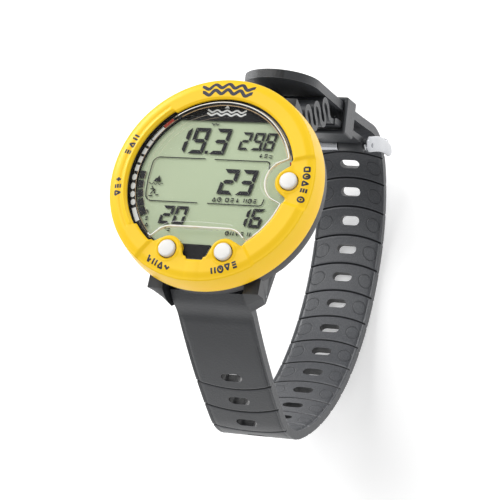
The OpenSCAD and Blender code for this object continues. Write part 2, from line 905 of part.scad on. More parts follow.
case_body();
bezel_boot();
display_cover();
cover_gasket();
dial_mask();
lcd_glass();
lcd_holder();
contact_strips();
circuit_board();
board_screws();
button_switches();
button_mode();
button_plan();
button_time();
spring_mode();
spring_plan();
spring_time();
seal_mode();
seal_plan();
seal_time();
clip_mode();
clip_plan();
clip_time();
battery_cell();
battery_pins();
battery_lid();
lid_gasket();
lock_ring();
pressure_sensor();
sensor_gasket();
water_contacts();
buzzer();
strap_pins();
strap_long();
short_eye();
short_bellows();
short_end();
buckle_pin();
buckle_frame();
buckle_prong();
strap_keeper();
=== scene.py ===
"""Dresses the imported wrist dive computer: boot, clear cover, display, buttons, folded strap and buckle."""

import json
import logging
import math
from dataclasses import dataclass
from enum import Enum
from typing import Callable, Iterable, Sequence

import bmesh
import bpy
import numpy as np
from mathutils import Matrix, Vector


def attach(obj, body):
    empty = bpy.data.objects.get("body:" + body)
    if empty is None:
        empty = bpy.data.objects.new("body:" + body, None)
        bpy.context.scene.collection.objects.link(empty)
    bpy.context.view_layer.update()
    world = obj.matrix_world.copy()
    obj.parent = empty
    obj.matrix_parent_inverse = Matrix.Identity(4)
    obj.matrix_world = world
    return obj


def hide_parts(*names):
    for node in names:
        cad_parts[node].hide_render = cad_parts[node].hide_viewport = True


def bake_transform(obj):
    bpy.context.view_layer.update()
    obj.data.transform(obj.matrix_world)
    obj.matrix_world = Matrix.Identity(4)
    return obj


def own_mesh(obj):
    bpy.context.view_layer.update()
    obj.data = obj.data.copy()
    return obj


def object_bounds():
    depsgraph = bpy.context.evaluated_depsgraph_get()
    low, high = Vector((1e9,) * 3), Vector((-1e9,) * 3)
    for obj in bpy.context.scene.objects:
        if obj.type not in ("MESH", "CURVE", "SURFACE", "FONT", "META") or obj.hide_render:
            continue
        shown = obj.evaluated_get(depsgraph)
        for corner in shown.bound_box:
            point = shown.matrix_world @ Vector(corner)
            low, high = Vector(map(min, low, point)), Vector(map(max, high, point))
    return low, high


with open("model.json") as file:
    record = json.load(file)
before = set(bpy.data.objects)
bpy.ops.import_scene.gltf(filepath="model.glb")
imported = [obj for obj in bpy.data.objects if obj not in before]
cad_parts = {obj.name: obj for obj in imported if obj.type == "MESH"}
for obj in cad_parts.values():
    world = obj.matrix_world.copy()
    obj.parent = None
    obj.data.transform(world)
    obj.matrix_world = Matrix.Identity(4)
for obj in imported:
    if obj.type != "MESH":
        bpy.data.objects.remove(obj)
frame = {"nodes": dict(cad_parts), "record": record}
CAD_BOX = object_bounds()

LOG = logging.getLogger("dive_computer")
MM = 0.001
Array = np.ndarray


# ---------------------------------------------------------------- shapes


@dataclass
class Shape:
    """A batch of faces: points in millimetres, faces of one length, a material index and optional surface
    coordinates.
    """

    points: Array
    faces: Array
    material: int = 0
    uv: Array | None = None


def grid_faces(rows: int, cols: int, wrap_rows: bool = False, wrap_cols: bool = False) -> Array:
    """Faces of a grid of points numbered row by row: each cell joins its four corners in turn.

    Args:
        rows: points along the first parameter.
        cols: points along the second parameter.
        wrap_rows: whether the last row joins the first.
        wrap_cols: whether the last column joins the first.

    Returns:
        An array of four point numbers a face.
    """
    i = np.arange(rows if wrap_rows else rows - 1)
    j = np.arange(cols if wrap_cols else cols - 1)
    a, b = np.meshgrid(i, j, indexing="ij")
    c, d = (a + 1) % rows, (b + 1) % cols
    return np.stack([a * cols + b, c * cols + b, c * cols + d, a * cols + d], -1).reshape(-1, 4)


def grid_shape(points: Array, wrap_rows: bool = False, wrap_cols: bool = False, flip: bool = False,
               material: int = 0, uv: Array | None = None) -> Shape:
    """A surface through a grid of points, of shape rows by columns by three.

    Args:
        points: the grid, rows by columns by three, in millimetres.
        wrap_rows: whether the last row joins the first.
        wrap_cols: whether the last column joins the first.
        flip: turns the faces over.
        material: material index.
        uv: surface coordinates of the points, or None.

    Returns:
        The shape.
    """
    rows, cols = points.shape[:2]
    faces = grid_faces(rows, cols, wrap_rows, wrap_cols)
    if flip:
        faces = faces[:, ::-1]
    return Shape(points.reshape(-1, 3), faces, material, None if uv is None else uv.reshape(-1, 2))


def fan(ring: Array, centre: Array, flip: bool = False, material: int = 0) -> Shape:
    """Triangles from a centre to each edge of a closed ring of points.

    Args:
        ring: the closed ring of points.
        centre: the point that every triangle shares.
        flip: turns the faces over.
        material: material index.

    Returns:
        The shape.
    """
    n = len(ring)
    k = np.arange(n)
    faces = np.stack([k, (k + 1) % n, np.full(n, n)], -1)
    return Shape(np.vstack([ring, centre[None]]), faces[:, ::-1] if flip else faces, material)


def turned(profile: Array, steps: int = 96, material: int = 0) -> Shape:
    """A profile of radius and height turned about Z: x = r cos a, y = r sin a, z = h, with a running once
    round.

    Args:
        profile: radius and height of each point, in millimetres.
        steps: points in a full turn.
        material: material index.

    Returns:
        The shape.
    """
    a = np.linspace(0, 2 * np.pi, steps, endpoint=False)[None, :]
    r, h = profile[:, :1], profile[:, 1:]
    return grid_shape(np.stack([r * np.cos(a), r * np.sin(a), h + 0 * a], -1), wrap_cols=True, flip=True,
                      material=material)


def moved(shape: Shape, by: Sequence[float]) -> Shape:
    """The same shape moved by a vector in millimetres."""
    return Shape(shape.points + np.array(by, float), shape.faces, shape.material, shape.uv)


def smooth(x: Array | float, lo: float, hi: float) -> Array:
    """A soft step: 0 below lo, 1 above hi, and three t squared less two t cubed between."""
    t = np.clip((np.asarray(x, float) - lo) / (hi - lo), 0, 1)
    return t * t * (3 - 2 * t)


def tangents(line: Array) -> Array:
    """Unit directions along a line of points, from each point's neighbours."""
    t = np.gradient(line, axis=0)
    return t / np.maximum(np.linalg.norm(t, axis=1, keepdims=True), 1e-9)


def swept(line: Array, side: Array, half_a: Array, half_b: Array, power: float = 2.0, ring: int = 24,
          material: int = 0) -> Shape:
    """A closed bar: a rounded section carried along a line, closed at both ends.

    At each point of the line the section is the curve |a/A|^p + |b/B|^p = 1, with a along the side direction
    and b square to both the side and the line. A and B are half_a and half_b there.

    Args:
        line: points of the middle line, in millimetres.
        side: direction of the section's first half width.
        half_a: half width along that direction, at each point.
        half_b: half width across it, at each point.
        power: 2 gives an ellipse, and more a squarer section.
        ring: points round the section.
        material: material index.

    Returns:
        The shape.
    """
    t = tangents(line)
    side = side / np.linalg.norm(side)
    b_dir = np.cross(t, side[None])
    b_dir /= np.linalg.norm(b_dir, axis=1, keepdims=True)
    q = np.linspace(0, 2 * np.pi, ring, endpoint=False)
    c, s = np.cos(q), np.sin(q)
    ca = np.sign(c) * np.abs(c) ** (2 / power)
    sb = np.sign(s) * np.abs(s) ** (2 / power)
    pts = (line[:, None] + side[None, None] * (half_a[:, None] * ca[None])[..., None]
           + b_dir[:, None] * (half_b[:, None] * sb[None])[..., None])
    return grid_shape(pts, wrap_cols=True, material=material)


def stroke(line: Array, width: float, lift: Callable[[Array, Array], Array], material: int = 0) -> Shape:
    """A flat printed line: points half a width to each side of a line in X and Y, laid on a height
    function.

    Args:
        line: points of the middle line, in millimetres.
        width: width of the printed line, in millimetres.
        lift: height function that it lies on.
        material: material index.

    Returns:
        The shape.
    """
    d = tangents(line)
    n = np.stack([-d[:, 1], d[:, 0]], -1)
    across = np.linspace(-0.5, 0.5, 5)
    xy = line[:, None] + n[:, None] * (across[None] * width)[..., None]
    z = lift(xy[..., 0], xy[..., 1])
    return grid_shape(np.dstack([xy, z]), material=material)


def along(points: Sequence[Sequence[float]], step: float = 0.35) -> Array:
    """Evenly spaced points along straight runs between the given corners.

    Args:
        points: the corners of the run.
        step: about how far apart the points lie.

    Returns:
        The points, corners included.
    """
    p = np.array(points, float)
    runs = [np.linspace(p[i], p[i + 1], max(2, int(np.linalg.norm(p[i + 1] - p[i]) / step) + 1))[:-1]
            for i in range(len(p) - 1)]
    return np.vstack(runs + [p[-1:]])


def flat_at(level: float) -> Callable[[Array, Array], Array]:
    """A height function that is the same everywhere."""
    return lambda x, y: np.full_like(x, level)


def poly(points: Array, z: float, material: int = 0) -> Shape:
    """A flat filled outline at one height, as a fan from its middle."""
    p = np.column_stack([points, np.full(len(points), z)])
    return fan(p, p.mean(0), material=material)


# ---------------------------------------------------------------- shader writing


class Sock:
    """A shader value: wraps one output socket, and arithmetic on it adds the nodes that work it out."""

    def __init__(self, ink: "Ink", socket: bpy.types.NodeSocket) -> None:
        """Keeps the writer and the socket."""
        self.ink = ink
        self.socket = socket

    def _math(self, operation: str, *values: "Sock | float") -> "Sock":
        """Adds one Math node with this operation on these values."""
        return self.ink.node("ShaderNodeMath", {"operation": operation}, dict(enumerate(values)))

    def __add__(self, other: "Sock | float") -> "Sock":
        """Sum."""
        return self._math("ADD", self, other)

    def __radd__(self, other: float) -> "Sock":
        """Sum with a number in front."""
        return self._math("ADD", other, self)

    def __sub__(self, other: "Sock | float") -> "Sock":
        """Difference."""
        return self._math("SUBTRACT", self, other)

    def __rsub__(self, other: float) -> "Sock":
        """Difference from a number."""
        return self._math("SUBTRACT", other, self)

    def __mul__(self, other: "Sock | float") -> "Sock":
        """Product."""
        return self._math("MULTIPLY", self, other)

    def __rmul__(self, other: float) -> "Sock":
        """Product with a number in front."""
        return self._math("MULTIPLY", other, self)

    def __abs__(self) -> "Sock":
        """Size without sign."""
        return self._math("ABSOLUTE", self)

    def wave(self, pitch: float) -> "Sock":
        """Distance to the nearest multiple of a pitch."""
        return self._math("PINGPONG", self, pitch / 2)

    def root(self) -> "Sock":
        """Square root."""
        return self._math("SQRT", self)

    def most(self, other: "Sock | float") -> "Sock":
        """The larger of two."""
        return self._math("MAXIMUM", self, other)

    def least(self, other: "Sock | float") -> "Sock":
        """The smaller of two."""
        return self._math("MINIMUM", self, other)

    def step(self, lo: float, hi: float, low: float = 0.0, high: float = 1.0) -> "Sock":
        """A soft step from low to high as the value goes from lo to hi."""
        return self.ink.node("ShaderNodeMapRange", {"interpolation_type": "SMOOTHSTEP"},
                             {"Value": self, "From Min": lo, "From Max": hi, "To Min": low, "To Max": high})


class Ink:
    """Writes one material's nodes."""

    def __init__(self, name: str) -> None:
        """Starts an empty material with a Principled shader.

        Args:
            name: the material's name.
        """
        self.material = bpy.data.materials.new(name)
        self.material.use_nodes = True
        self.tree = self.material.node_tree
        self.tree.nodes.clear()
        self.out = self.tree.nodes.new("ShaderNodeOutputMaterial")
        self.shader = self.tree.nodes.new("ShaderNodeBsdfPrincipled")
        self.tree.links.new(self.shader.outputs[0], self.out.inputs["Surface"])

    def feed(self, socket: bpy.types.NodeSocket, value: object) -> None:
        """Links a wrapped value to a socket, or sets it.

        Args:
            socket: the input socket.
            value: a wrapped value, a colour or a number.
        """
        if isinstance(value, Sock):
            self.tree.links.new(value.socket, socket)
        elif isinstance(value, (tuple, list)) and socket.type == "RGBA" and len(value) == 3:
            socket.default_value = (*value, 1.0)
        else:
            socket.default_value = value

    def node(self, kind: str, settings: dict[str, object] | None = None,
             inputs: dict[object, object] | None = None,
             output: int | str = 0) -> Sock:
        """Adds any node.

        Args:
            kind: the node's type name.
            settings: attributes set before its sockets.
            inputs: values or links by socket name or number.
            output: the output that is returned.

        Returns:
            The chosen output, wrapped.
        """
        made = self.tree.nodes.new(kind)
        for key, value in (settings or {}).items():
            setattr(made, key, value)
        for key, value in (inputs or {}).items():
            self.feed(made.inputs[key], value)
        return Sock(self, made.outputs[output])

    def where(self) -> tuple[Sock, Sock, Sock, Sock]:
        """The piece's own coordinates in metres: the vector, then X, Y and Z.

        Returns:
            The vector, X, Y and Z.
        """
        at = self.node("ShaderNodeTexCoord", None, None, "Object")
        split = self.node("ShaderNodeSeparateXYZ", None, {0: at})
        outs = split.socket.node.outputs
        return at, Sock(self, outs[0]), Sock(self, outs[1]), Sock(self, outs[2])

    def surface(self) -> tuple[Sock, Sock]:
        """The piece's own surface coordinates, first and second.

        Returns:
            The first and the second coordinate.
        """
        at = self.node("ShaderNodeTexCoord", None, None, "UV")
        split = self.node("ShaderNodeSeparateXYZ", None, {0: at})
        outs = split.socket.node.outputs
        return Sock(self, outs[0]), Sock(self, outs[1])

    def noise(self, at: Sock, scale: float, detail: float = 3.0, rough: float = 0.55) -> Sock:
        """Cloudy noise between 0 and 1, with scale in cycles a metre."""
        return self.node("ShaderNodeTexNoise", None,
                         {"Vector": at, "Scale": scale, "Detail": detail, "Roughness": rough})

    def grain(self, at: Sock, scale: float) -> Sock:
        """Fine cells: distance to the nearest of many scattered points."""
        return self.node("ShaderNodeTexVoronoi", {"feature": "F1"}, {"Vector": at, "Scale": scale})

    def mix(self, factor: Sock | float, a: object, b: object) -> Sock:
        """Blends two colours by a factor."""
        return self.node("ShaderNodeMix", {"data_type": "RGBA"}, {0: factor, 6: a, 7: b}, 2)

    def bump(self, height: Sock, depth: float, strength: float = 1.0) -> Sock:
        """Turns a height into a surface tilt, with depth in metres."""
        return self.node("ShaderNodeBump", None, {"Height": height, "Distance": depth, "Strength": strength})

    def edge_highlight(self, radius: float = 0.0004) -> Sock:
        """Where edges stand out, for painted edge highlights: the bevelled normal's turn away from the plain
        one, as 0 to 1.

        Args:
            radius: how far it reaches from an edge, in metres.

        Returns:
            0 on plain faces, rising to 1 at edges.
        """
        soft = self.node("ShaderNodeBevel", {"samples": 4}, {"Radius": radius})
        plain = self.node("ShaderNodeNewGeometry", None, None, "Normal")
        turn = self.node("ShaderNodeVectorMath", {"operation": "DOT_PRODUCT"}, {0: soft, 1: plain}, "Value")
        return (1 - turn).step(0.01, 0.25)

    def finish(self, **values: object) -> bpy.types.Material:
        """Sets the shader's sockets by name, with _ for a space, and returns the material.

        Args:
            values: the values, by socket name.

        Returns:
            The finished material.
        """
        for key, value in values.items():
            self.feed(self.shader.inputs[key.replace("_", " ")], value)
        return self.material


@dataclass(frozen=True)
class Finish:
    """A moulded or painted surface: two close tones in soft clouds, a fine grain and a little variation in
    gloss.
    """

    name: str
    colour: tuple[float, float, float]
    shade: tuple[float, float, float]
    roughness: float = 0.5
    spread: float = 0.06
    grain: float = 3000.0
    depth: float = 0.00003
    metallic: float = 0.0
    coat: float = 0.0
    cloud: float = 60.0
    specular: float = 0.5
    brushed: tuple[float, float, float] = (1.0, 1.0, 1.0)

    def material(self) -> bpy.types.Material:
        """Builds the nodes: clouds blend the two tones, stretched grain tilts the surface, both shift the
        gloss.

        Returns:
            The material.
        """
        ink = Ink(self.name)
        at = ink.where()[0]
        line = ink.node("ShaderNodeMapping", None, {"Vector": at, "Scale": self.brushed})
        cloud = ink.noise(at, self.cloud, 4.0)
        fine = ink.noise(line, self.grain, 2.0)
        cells = ink.grain(line, self.grain * 0.6)
        colour = ink.mix(cloud.step(0.3, 0.7), self.colour, self.shade)
        gloss = self.roughness + (cloud - 0.5) * self.spread + (fine - 0.5) * self.spread
        ink.shader.inputs["Coat Roughness"].default_value = 0.08
        return ink.finish(Base_Color=colour, Roughness=gloss, Metallic=self.metallic, Coat_Weight=self.coat,
                          Specular_IOR_Level=self.specular,
                          Normal=ink.bump(fine * 0.6 + cells * 0.4, self.depth))


class Tone(Enum):
    """The plain finishes, by what they are used on."""

    CASE = Finish("case_black", (0.012, 0.013, 0.015), (0.018, 0.019, 0.022), 0.42, 0.08, 2600, 0.00003)
    MASK = Finish("mask_black", (0.002, 0.002, 0.0025), (0.004, 0.004, 0.005), 0.45, 0.04, 5000, 0.000005,
                  specular=0.12)
    MARK = Finish("mark_navy", (0.012, 0.013, 0.028), (0.02, 0.02, 0.04), 0.5, 0.05, 4000, 0.00001)
    WHITE = Finish("mask_white", (0.75, 0.77, 0.74), (0.68, 0.7, 0.68), 0.4, 0.05, 4000, 0.000005)
    RED = Finish("mask_red", (0.5, 0.03, 0.01), (0.42, 0.03, 0.01), 0.4, 0.05, 4000, 0.000005)
    SEGMENT = Finish("segment_dark", (0.022, 0.022, 0.025), (0.03, 0.03, 0.032), 0.6, 0.05, 3000, 0.000005,
                     specular=0.1)
    BUTTON = Finish("button_pearl", (0.80, 0.79, 0.76), (0.72, 0.70, 0.67), 0.2, 0.04, 5000, 0.000004,
                    coat=0.6)
    STEEL = Finish("turned_steel", (0.52, 0.53, 0.54), (0.6, 0.6, 0.61), 0.25, 0.08, 2500, 0.00001, 1.0,
                   brushed=(0.2, 4.0, 4.0))
    BUCKLE = Finish("buckle_satin", (0.50, 0.51, 0.53), (0.43, 0.44, 0.46), 0.24, 0.1, 1800, 0.00001, 1.0,
                    brushed=(4.0, 0.3, 0.3))
    SEAL = Finish("seal_rubber", (0.015, 0.015, 0.015), (0.022, 0.022, 0.022), 0.45, 0.06, 3000, 0.00001)
    BRASS = Finish("plated_brass", (0.62, 0.44, 0.18), (0.52, 0.36, 0.14), 0.28, 0.08, 3000, 0.00001, 1.0)
    HOLDER = Finish("holder_white", (0.62, 0.62, 0.58), (0.55, 0.55, 0.52), 0.5, 0.06, 2500, 0.00002)
    STRIP = Finish("strip_pink", (0.4, 0.16, 0.2), (0.3, 0.1, 0.14), 0.5, 0.06, 2500, 0.00002)
    BOARD = Finish("board_green", (0.01, 0.09, 0.035), (0.015, 0.13, 0.05), 0.32, 0.06, 1200, 0.00002)


def strap_material() -> bpy.types.Material:
    """Satin rubber: moulded grain, painted shade in the grooves and slot walls, a painted highlight along one
    lip of each groove, release-pin rings, painted highlights along the edges and a painted lighter tone on
    the wrist face.

    The first surface coordinate is the distance along the strap in slot pitches. The second is the distance
    across it in centimetres, with 100 added on the wrist face, so a step near 98 tells the two faces apart. A
    ring stands on each side of every slot, 10.7 millimetres from the middle, on the wrist face only.

    Returns:
        The material.
    """
    ink = Ink("strap_rubber")
    at, x = ink.where()[:2]
    u, v = ink.surface()
    inner = v.step(98.2, 98.3)
    turn = u.wave(1.0)
    run = turn * StrapRoute.pitch * 0.1
    across = abs(v - 100) - 1.07
    far = (run * run + across * across).root()
    slots = u.step(-18.6, -18.5) * u.step(2.5, 2.6, 1.0, 0.0)
    ring = (1 - abs(far - 0.3).step(0.006, 0.028)) * inner * slots
    grooved = u.step(-18.2, -18.1) * u.step(-1.0, -0.9, 1.0, 0.0)
    # Painted shade: the bottom of each groove, mixed towards black below.
    cut = turn.step(0.466, 0.480) * grooved
    # Painted highlight: a pale line along one lip of each groove.
    lip = turn.step(0.425, 0.452) * (1 - turn.step(0.455, 0.468)) * grooved
    cloud = ink.noise(at, 45, 4)
    fine = ink.noise(at, 2400, 3)
    cells = ink.grain(at, 1700)
    tone = ink.mix(cloud.step(0.3, 0.72), (0.026, 0.028, 0.032), (0.042, 0.045, 0.050))
    # Painted light: the whole wrist face is mixed lighter, for the light that falls on it.
    tone = ink.mix(inner * 0.6, tone, (0.105, 0.110, 0.122))
    tone = ink.mix(cells.step(0.15, 0.6) * 0.45, tone, (0.030, 0.032, 0.036))
    # Painted highlight: edges that stand out are mixed paler.
    tone = ink.mix(ink.edge_highlight() * 0.45, tone, (0.16, 0.165, 0.175))
    # Painted highlight on the groove lips.
    tone = ink.mix(lip * 0.35, tone, (0.17, 0.175, 0.19))
    # Painted shade: the walls inside the slots.
    wall = v.step(4, 5) * v.step(95, 96, 1.0, 0.0) * abs(x).step(0.005, 0.006, 1.0, 0.0)
    # Painted shade in the groove bottoms and slot walls, mixed towards black together with the moulded rings.
    tone = ink.mix((cut * 0.93).most(ring * 0.4).most(wall * 0.8), tone, (0.004, 0.004, 0.005))
    gloss = 0.40 + (cloud - 0.5) * 0.1 + (fine - 0.5) * 0.12
    return ink.finish(Base_Color=tone, Roughness=gloss, Specular_IOR_Level=0.55,
                      Normal=ink.bump(fine * 0.5 + cells * 0.7 - ring * 2.0, 0.00009))


def boot_material() -> bpy.types.Material:
    """Yellow elastomer: painted shade, warmer and deeper down the side wall, with faint moulding clouds and a
    satin skin.

    Returns:
        The material.
    """
    ink = Ink("boot_yellow")
    at, _, _, z = ink.where()
    cloud = ink.noise(at, 35, 3)
    fine = ink.noise(at, 2800, 2)
    # Painted shade: lower down the side wall the yellow is mixed towards a deeper orange.
    low = z.step(0.0180, 0.0268, 1.0, 0.0)
    colour = ink.mix(cloud.step(0.3, 0.7), (0.98, 0.63, 0.012), (0.95, 0.59, 0.009))
    colour = ink.mix(low, colour, (1.0, 0.60, 0.004))
    return ink.finish(Base_Color=colour, Roughness=0.38 + (fine - 0.5) * 0.08 + (cloud - 0.5) * 0.06,
                      Specular_IOR_Level=0.28, Normal=ink.bump(fine, 0.000012))


def lcd_material() -> bpy.types.Material:
    """Display ground: grey-green reflector with a fine pearly grain, and painted shade that makes it a little
    darker towards six o'clock.

    Returns:
        The material.
    """
    ink = Ink("lcd_ground")
    at, _, y, _ = ink.where()
    cloud = ink.noise(at, 50, 2)
    fine = ink.noise(at, 5000, 2)
    # Painted shade: the lower half, towards six o'clock, is darker.
    colour = ink.mix(y.step(-0.03, 0.03), (0.385, 0.470, 0.290), (0.435, 0.525, 0.330))
    colour = ink.mix((cloud * 0.6 + fine * 0.4).step(0.3, 0.7) * 0.35, colour, (0.47, 0.55, 0.36))
    return ink.finish(Base_Color=colour, Roughness=0.42 + (fine - 0.5) * 0.1,
                      Normal=ink.bump(fine, 0.000004))


def clear_material(name: str, colour: tuple[float, float, float], alpha: float,
                   rough: float) -> bpy.types.Material:
    """Clear moulding: mostly see-through, a little denser where hairline scratches and soft clouds
    cross it.

    Args:
        name: the material's name.
        colour: its tint.
        alpha: how much it hides, from 0 to 1.
        rough: its roughness.

    Returns:
        The material.
    """
    ink = Ink(name)
    at = ink.where()[0]
    hair = ink.noise(ink.node("ShaderNodeMapping", None, {"Vector": at, "Scale": (1.0, 30.0, 1.0)}), 60, 2)
    cloud = ink.noise(at, 90, 2)
    dense = alpha * (0.85 + cloud * 0.3) + hair.step(0.70, 0.78) * alpha * 0.25
    return ink.finish(Base_Color=ink.mix(cloud, colour, tuple(0.92 * c for c in colour)),
                      Roughness=rough + hair * 0.03,
                      Alpha=dense, Specular_IOR_Level=0.8, Normal=ink.bump(cloud, 0.000004))


def edge_material() -> bpy.types.Material:
    """The cover's bevel: two painted highlight lines, at its upper and lower edge, that fade out round the
    left side.

    The surface coordinates hold the angle as a share of a full turn and the way down the bevel from 0 to 1.
    The first line broadens at the four corners of the raised face.

    Returns:
        The material.
    """
    ink = Ink("cover_edge")
    at = ink.where()[0]
    u, v = ink.surface()
    left = 1 - abs(u - 0.5).step(0.13, 0.17)
    shown = 1 - left * 0.92
    corner = abs(u - 0.955).least(abs(u - 0.045)).least(abs(u - 0.645)).least(abs(u - 0.855))
    blob = corner.step(0.004, 0.012, 1.0, 0.0)
    # Painted highlights: two bright lines across the bevel, with faint grey between them.
    first = (abs(v - 0.25) - blob * 0.4).step(0.24, 0.34, 1.0, 0.0)
    second = abs(v - 0.86).step(0.08, 0.16, 1.0, 0.0)
    drift = ink.noise(at, 160, 2)
    alpha = (0.06 + first * 0.92 + second * 0.75 * drift.step(0.3, 0.5)) * shown
    colour = ink.mix(drift.step(0.40, 0.62), (0.98, 0.97, 0.93), (0.93, 0.80, 0.58))
    colour = ink.mix((1 - first) * 0.7, colour, (0.55, 0.56, 0.50))
    return ink.finish(Base_Color=colour, Roughness=0.12 + drift * 0.06, Alpha=alpha.least(1.0),
                      Specular_IOR_Level=0.8,
                      Normal=ink.bump(drift, 0.000004))


# ---------------------------------------------------------------- making pieces


_finishes: dict[str, bpy.types.Material] = {}


def finish_of(tone: Tone) -> bpy.types.Material:
    """The material of a plain finish, made once.

    Args:
        tone: the finish.

    Returns:
        The material, shared by every piece with this finish.
    """
    if tone.name not in _finishes:
        _finishes[tone.name] = tone.value.material()
    return _finishes[tone.name]


def piece(name: str, shapes: Iterable[Shape], materials: Sequence[bpy.types.Material], body: str | None,
          stands_for: Sequence[str] = (), slot: str = "", sharp: float = 40.0, weld: float = 0.0,
          bevel: float = 0.0) -> bpy.types.Object:
    """Makes one finished piece from its shapes, in metres, with its place in its mesh.

    Args:
        name: the piece's name.
        shapes: batches of faces in millimetres.
        materials: the materials that the shapes' indices mean.
        body: the body that it rides on, or None.
        stands_for: the CAD nodes that it replaces.
        slot: the record's material slot.
        sharp: the angle in degrees above which an edge stays crisp.
        weld: merges points nearer than this, in millimetres.
        bevel: rounds crisp edges by this width, in millimetres.

    Returns:
        The new object.
    """
    mesh = bpy.data.meshes.new(name)
    points, loops, starts, mats, uvs = [], [], [], [], []
    base = total = 0
    shapes = list(shapes)
    for shape in shapes:
        n, k = shape.faces.shape
        points.append(shape.points)
        loops.append((shape.faces + base).ravel())
        starts.append(total + k * np.arange(n))
        mats.append(np.full(n, shape.material))
        uv = shape.uv if shape.uv is not None else np.zeros((len(shape.points), 2))
        uvs.append(uv[shape.faces.ravel()])
        base += len(shape.points)
        total += n * k
    co = np.vstack(points) * MM
    mesh.vertices.add(len(co))
    mesh.vertices.foreach_set("co", co.astype(np.float32).ravel())
    mesh.loops.add(total)
    mesh.loops.foreach_set("vertex_index", np.concatenate(loops).astype(np.int32))
    first = np.concatenate(starts).astype(np.int32)
    mesh.polygons.add(len(first))
    mesh.polygons.foreach_set("loop_start", first)
    mesh.update(calc_edges=True)
    mesh.polygons.foreach_set("material_index", np.concatenate(mats).astype(np.int32))
    layer = mesh.uv_layers.new(name="UVMap")
    layer.data.foreach_set("uv", np.vstack(uvs).astype(np.float32).ravel())
    mesh.validate()
    obj = bpy.data.objects.new(name, mesh)
    bpy.context.scene.collection.objects.link(obj)
    for material in materials:
        mesh.materials.append(material)
    finish_mesh(obj, weld, sharp)
    if bevel:
        round_edges(obj, bevel, sharp)
    seat(obj, body, stands_for, slot)
    return obj


def seat(obj: bpy.types.Object, body: str | None, stands_for: Sequence[str], slot: str) -> None:
    """Puts a piece on its body, hides the CAD nodes that it stands for, and logs its number of faces.

    Args:
        obj: the piece.
        body: the body that it rides on, or None.
        stands_for: the CAD nodes that it replaces.
        slot: not used.
    """
    if body:
        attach(obj, body)
    if stands_for:
        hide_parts(*stands_for)
    LOG.info("%s: %d faces", obj.name, len(obj.data.polygons))


def finish_mesh(obj: bpy.types.Object, weld: float, sharp: float) -> None:
    """Merges close points, turns faces outwards where points were merged, and shades smooth up to an
    angle.

    Args:
        obj: the piece.
        weld: merges points nearer than this, in millimetres; 0 merges none.
        sharp: the angle in degrees above which an edge stays crisp.
    """
    if weld:
        work = bmesh.new()
        work.from_mesh(obj.data)
        bmesh.ops.remove_doubles(work, verts=work.verts, dist=weld * MM)
        bmesh.ops.recalc_face_normals(work, faces=work.faces)
        work.to_mesh(obj.data)
        work.free()
    obj.data.polygons.foreach_set("use_smooth", np.ones(len(obj.data.polygons), bool))
    obj.data.set_sharp_from_angle(angle=math.radians(sharp))


def round_edges(obj: bpy.types.Object, width: float, sharp: float) -> None:
    """Rounds every edge that turns more than an angle.

    Args:
        obj: the piece.
        width: the rounding, in millimetres.
        sharp: the angle in degrees above which an edge is rounded.
    """
    cut = obj.modifiers.new("round", "BEVEL")
    cut.width = width * MM
    cut.segments = 2
    cut.limit_method = "ANGLE"
    cut.angle_limit = math.radians(sharp)
    cut.use_clamp_overlap = True
    cut.harden_normals = False


def apply_modifier(obj: bpy.types.Object, name: str) -> None:
    """Applies one modifier."""
    with bpy.context.temp_override(object=obj, active_object=obj):
        bpy.ops.object.modifier_apply(modifier=name)


def body_of_node(node: str) -> str:
    """The body that holds a CAD node.

    Args:
        node: the CAD node's name.

    Returns:
        The body's name.
    """
    for name, nodes in frame["record"]["behaviour"]["bodies"].items():
        if node in nodes:
            return name
    raise KeyError(node)


def refined(node: str, material: bpy.types.Material, bevel: float = 0.15, slot: str = "",
            sharp: float = 35.0) -> bpy.types.Object:
    """A finer copy of a CAD node: its loose triangles merged, flat faces joined, and its edges rounded.

    Args:
        node: the CAD node's name.
        material: the finish.
        bevel: the rounding in millimetres.
        slot: the record's material slot.
        sharp: the angle above which an edge is rounded.

    Returns:
        The new piece, which stands for the node.
    """
    mesh = frame["nodes"][node].data.copy()
    obj = bpy.data.objects.new(f"{node}_fine", mesh)
    bpy.context.scene.collection.objects.link(obj)
    work = bmesh.new()
    work.from_mesh(mesh)
    bmesh.ops.remove_doubles(work, verts=work.verts, dist=2e-6)
    bmesh.ops.dissolve_limit(work, angle_limit=math.radians(0.5), verts=work.verts, edges=work.edges)
    work.to_mesh(mesh)
    work.free()
    mesh.materials.clear()
    mesh.materials.append(material)
    mesh.polygons.foreach_set("material_index", np.zeros(len(mesh.polygons), np.int32))
    finish_mesh(obj, 0, sharp)
    if bevel:
        round_edges(obj, bevel, sharp)
    seat(obj, body_of_node(node), [node], slot)
    return obj


# ---------------------------------------------------------------- the dial


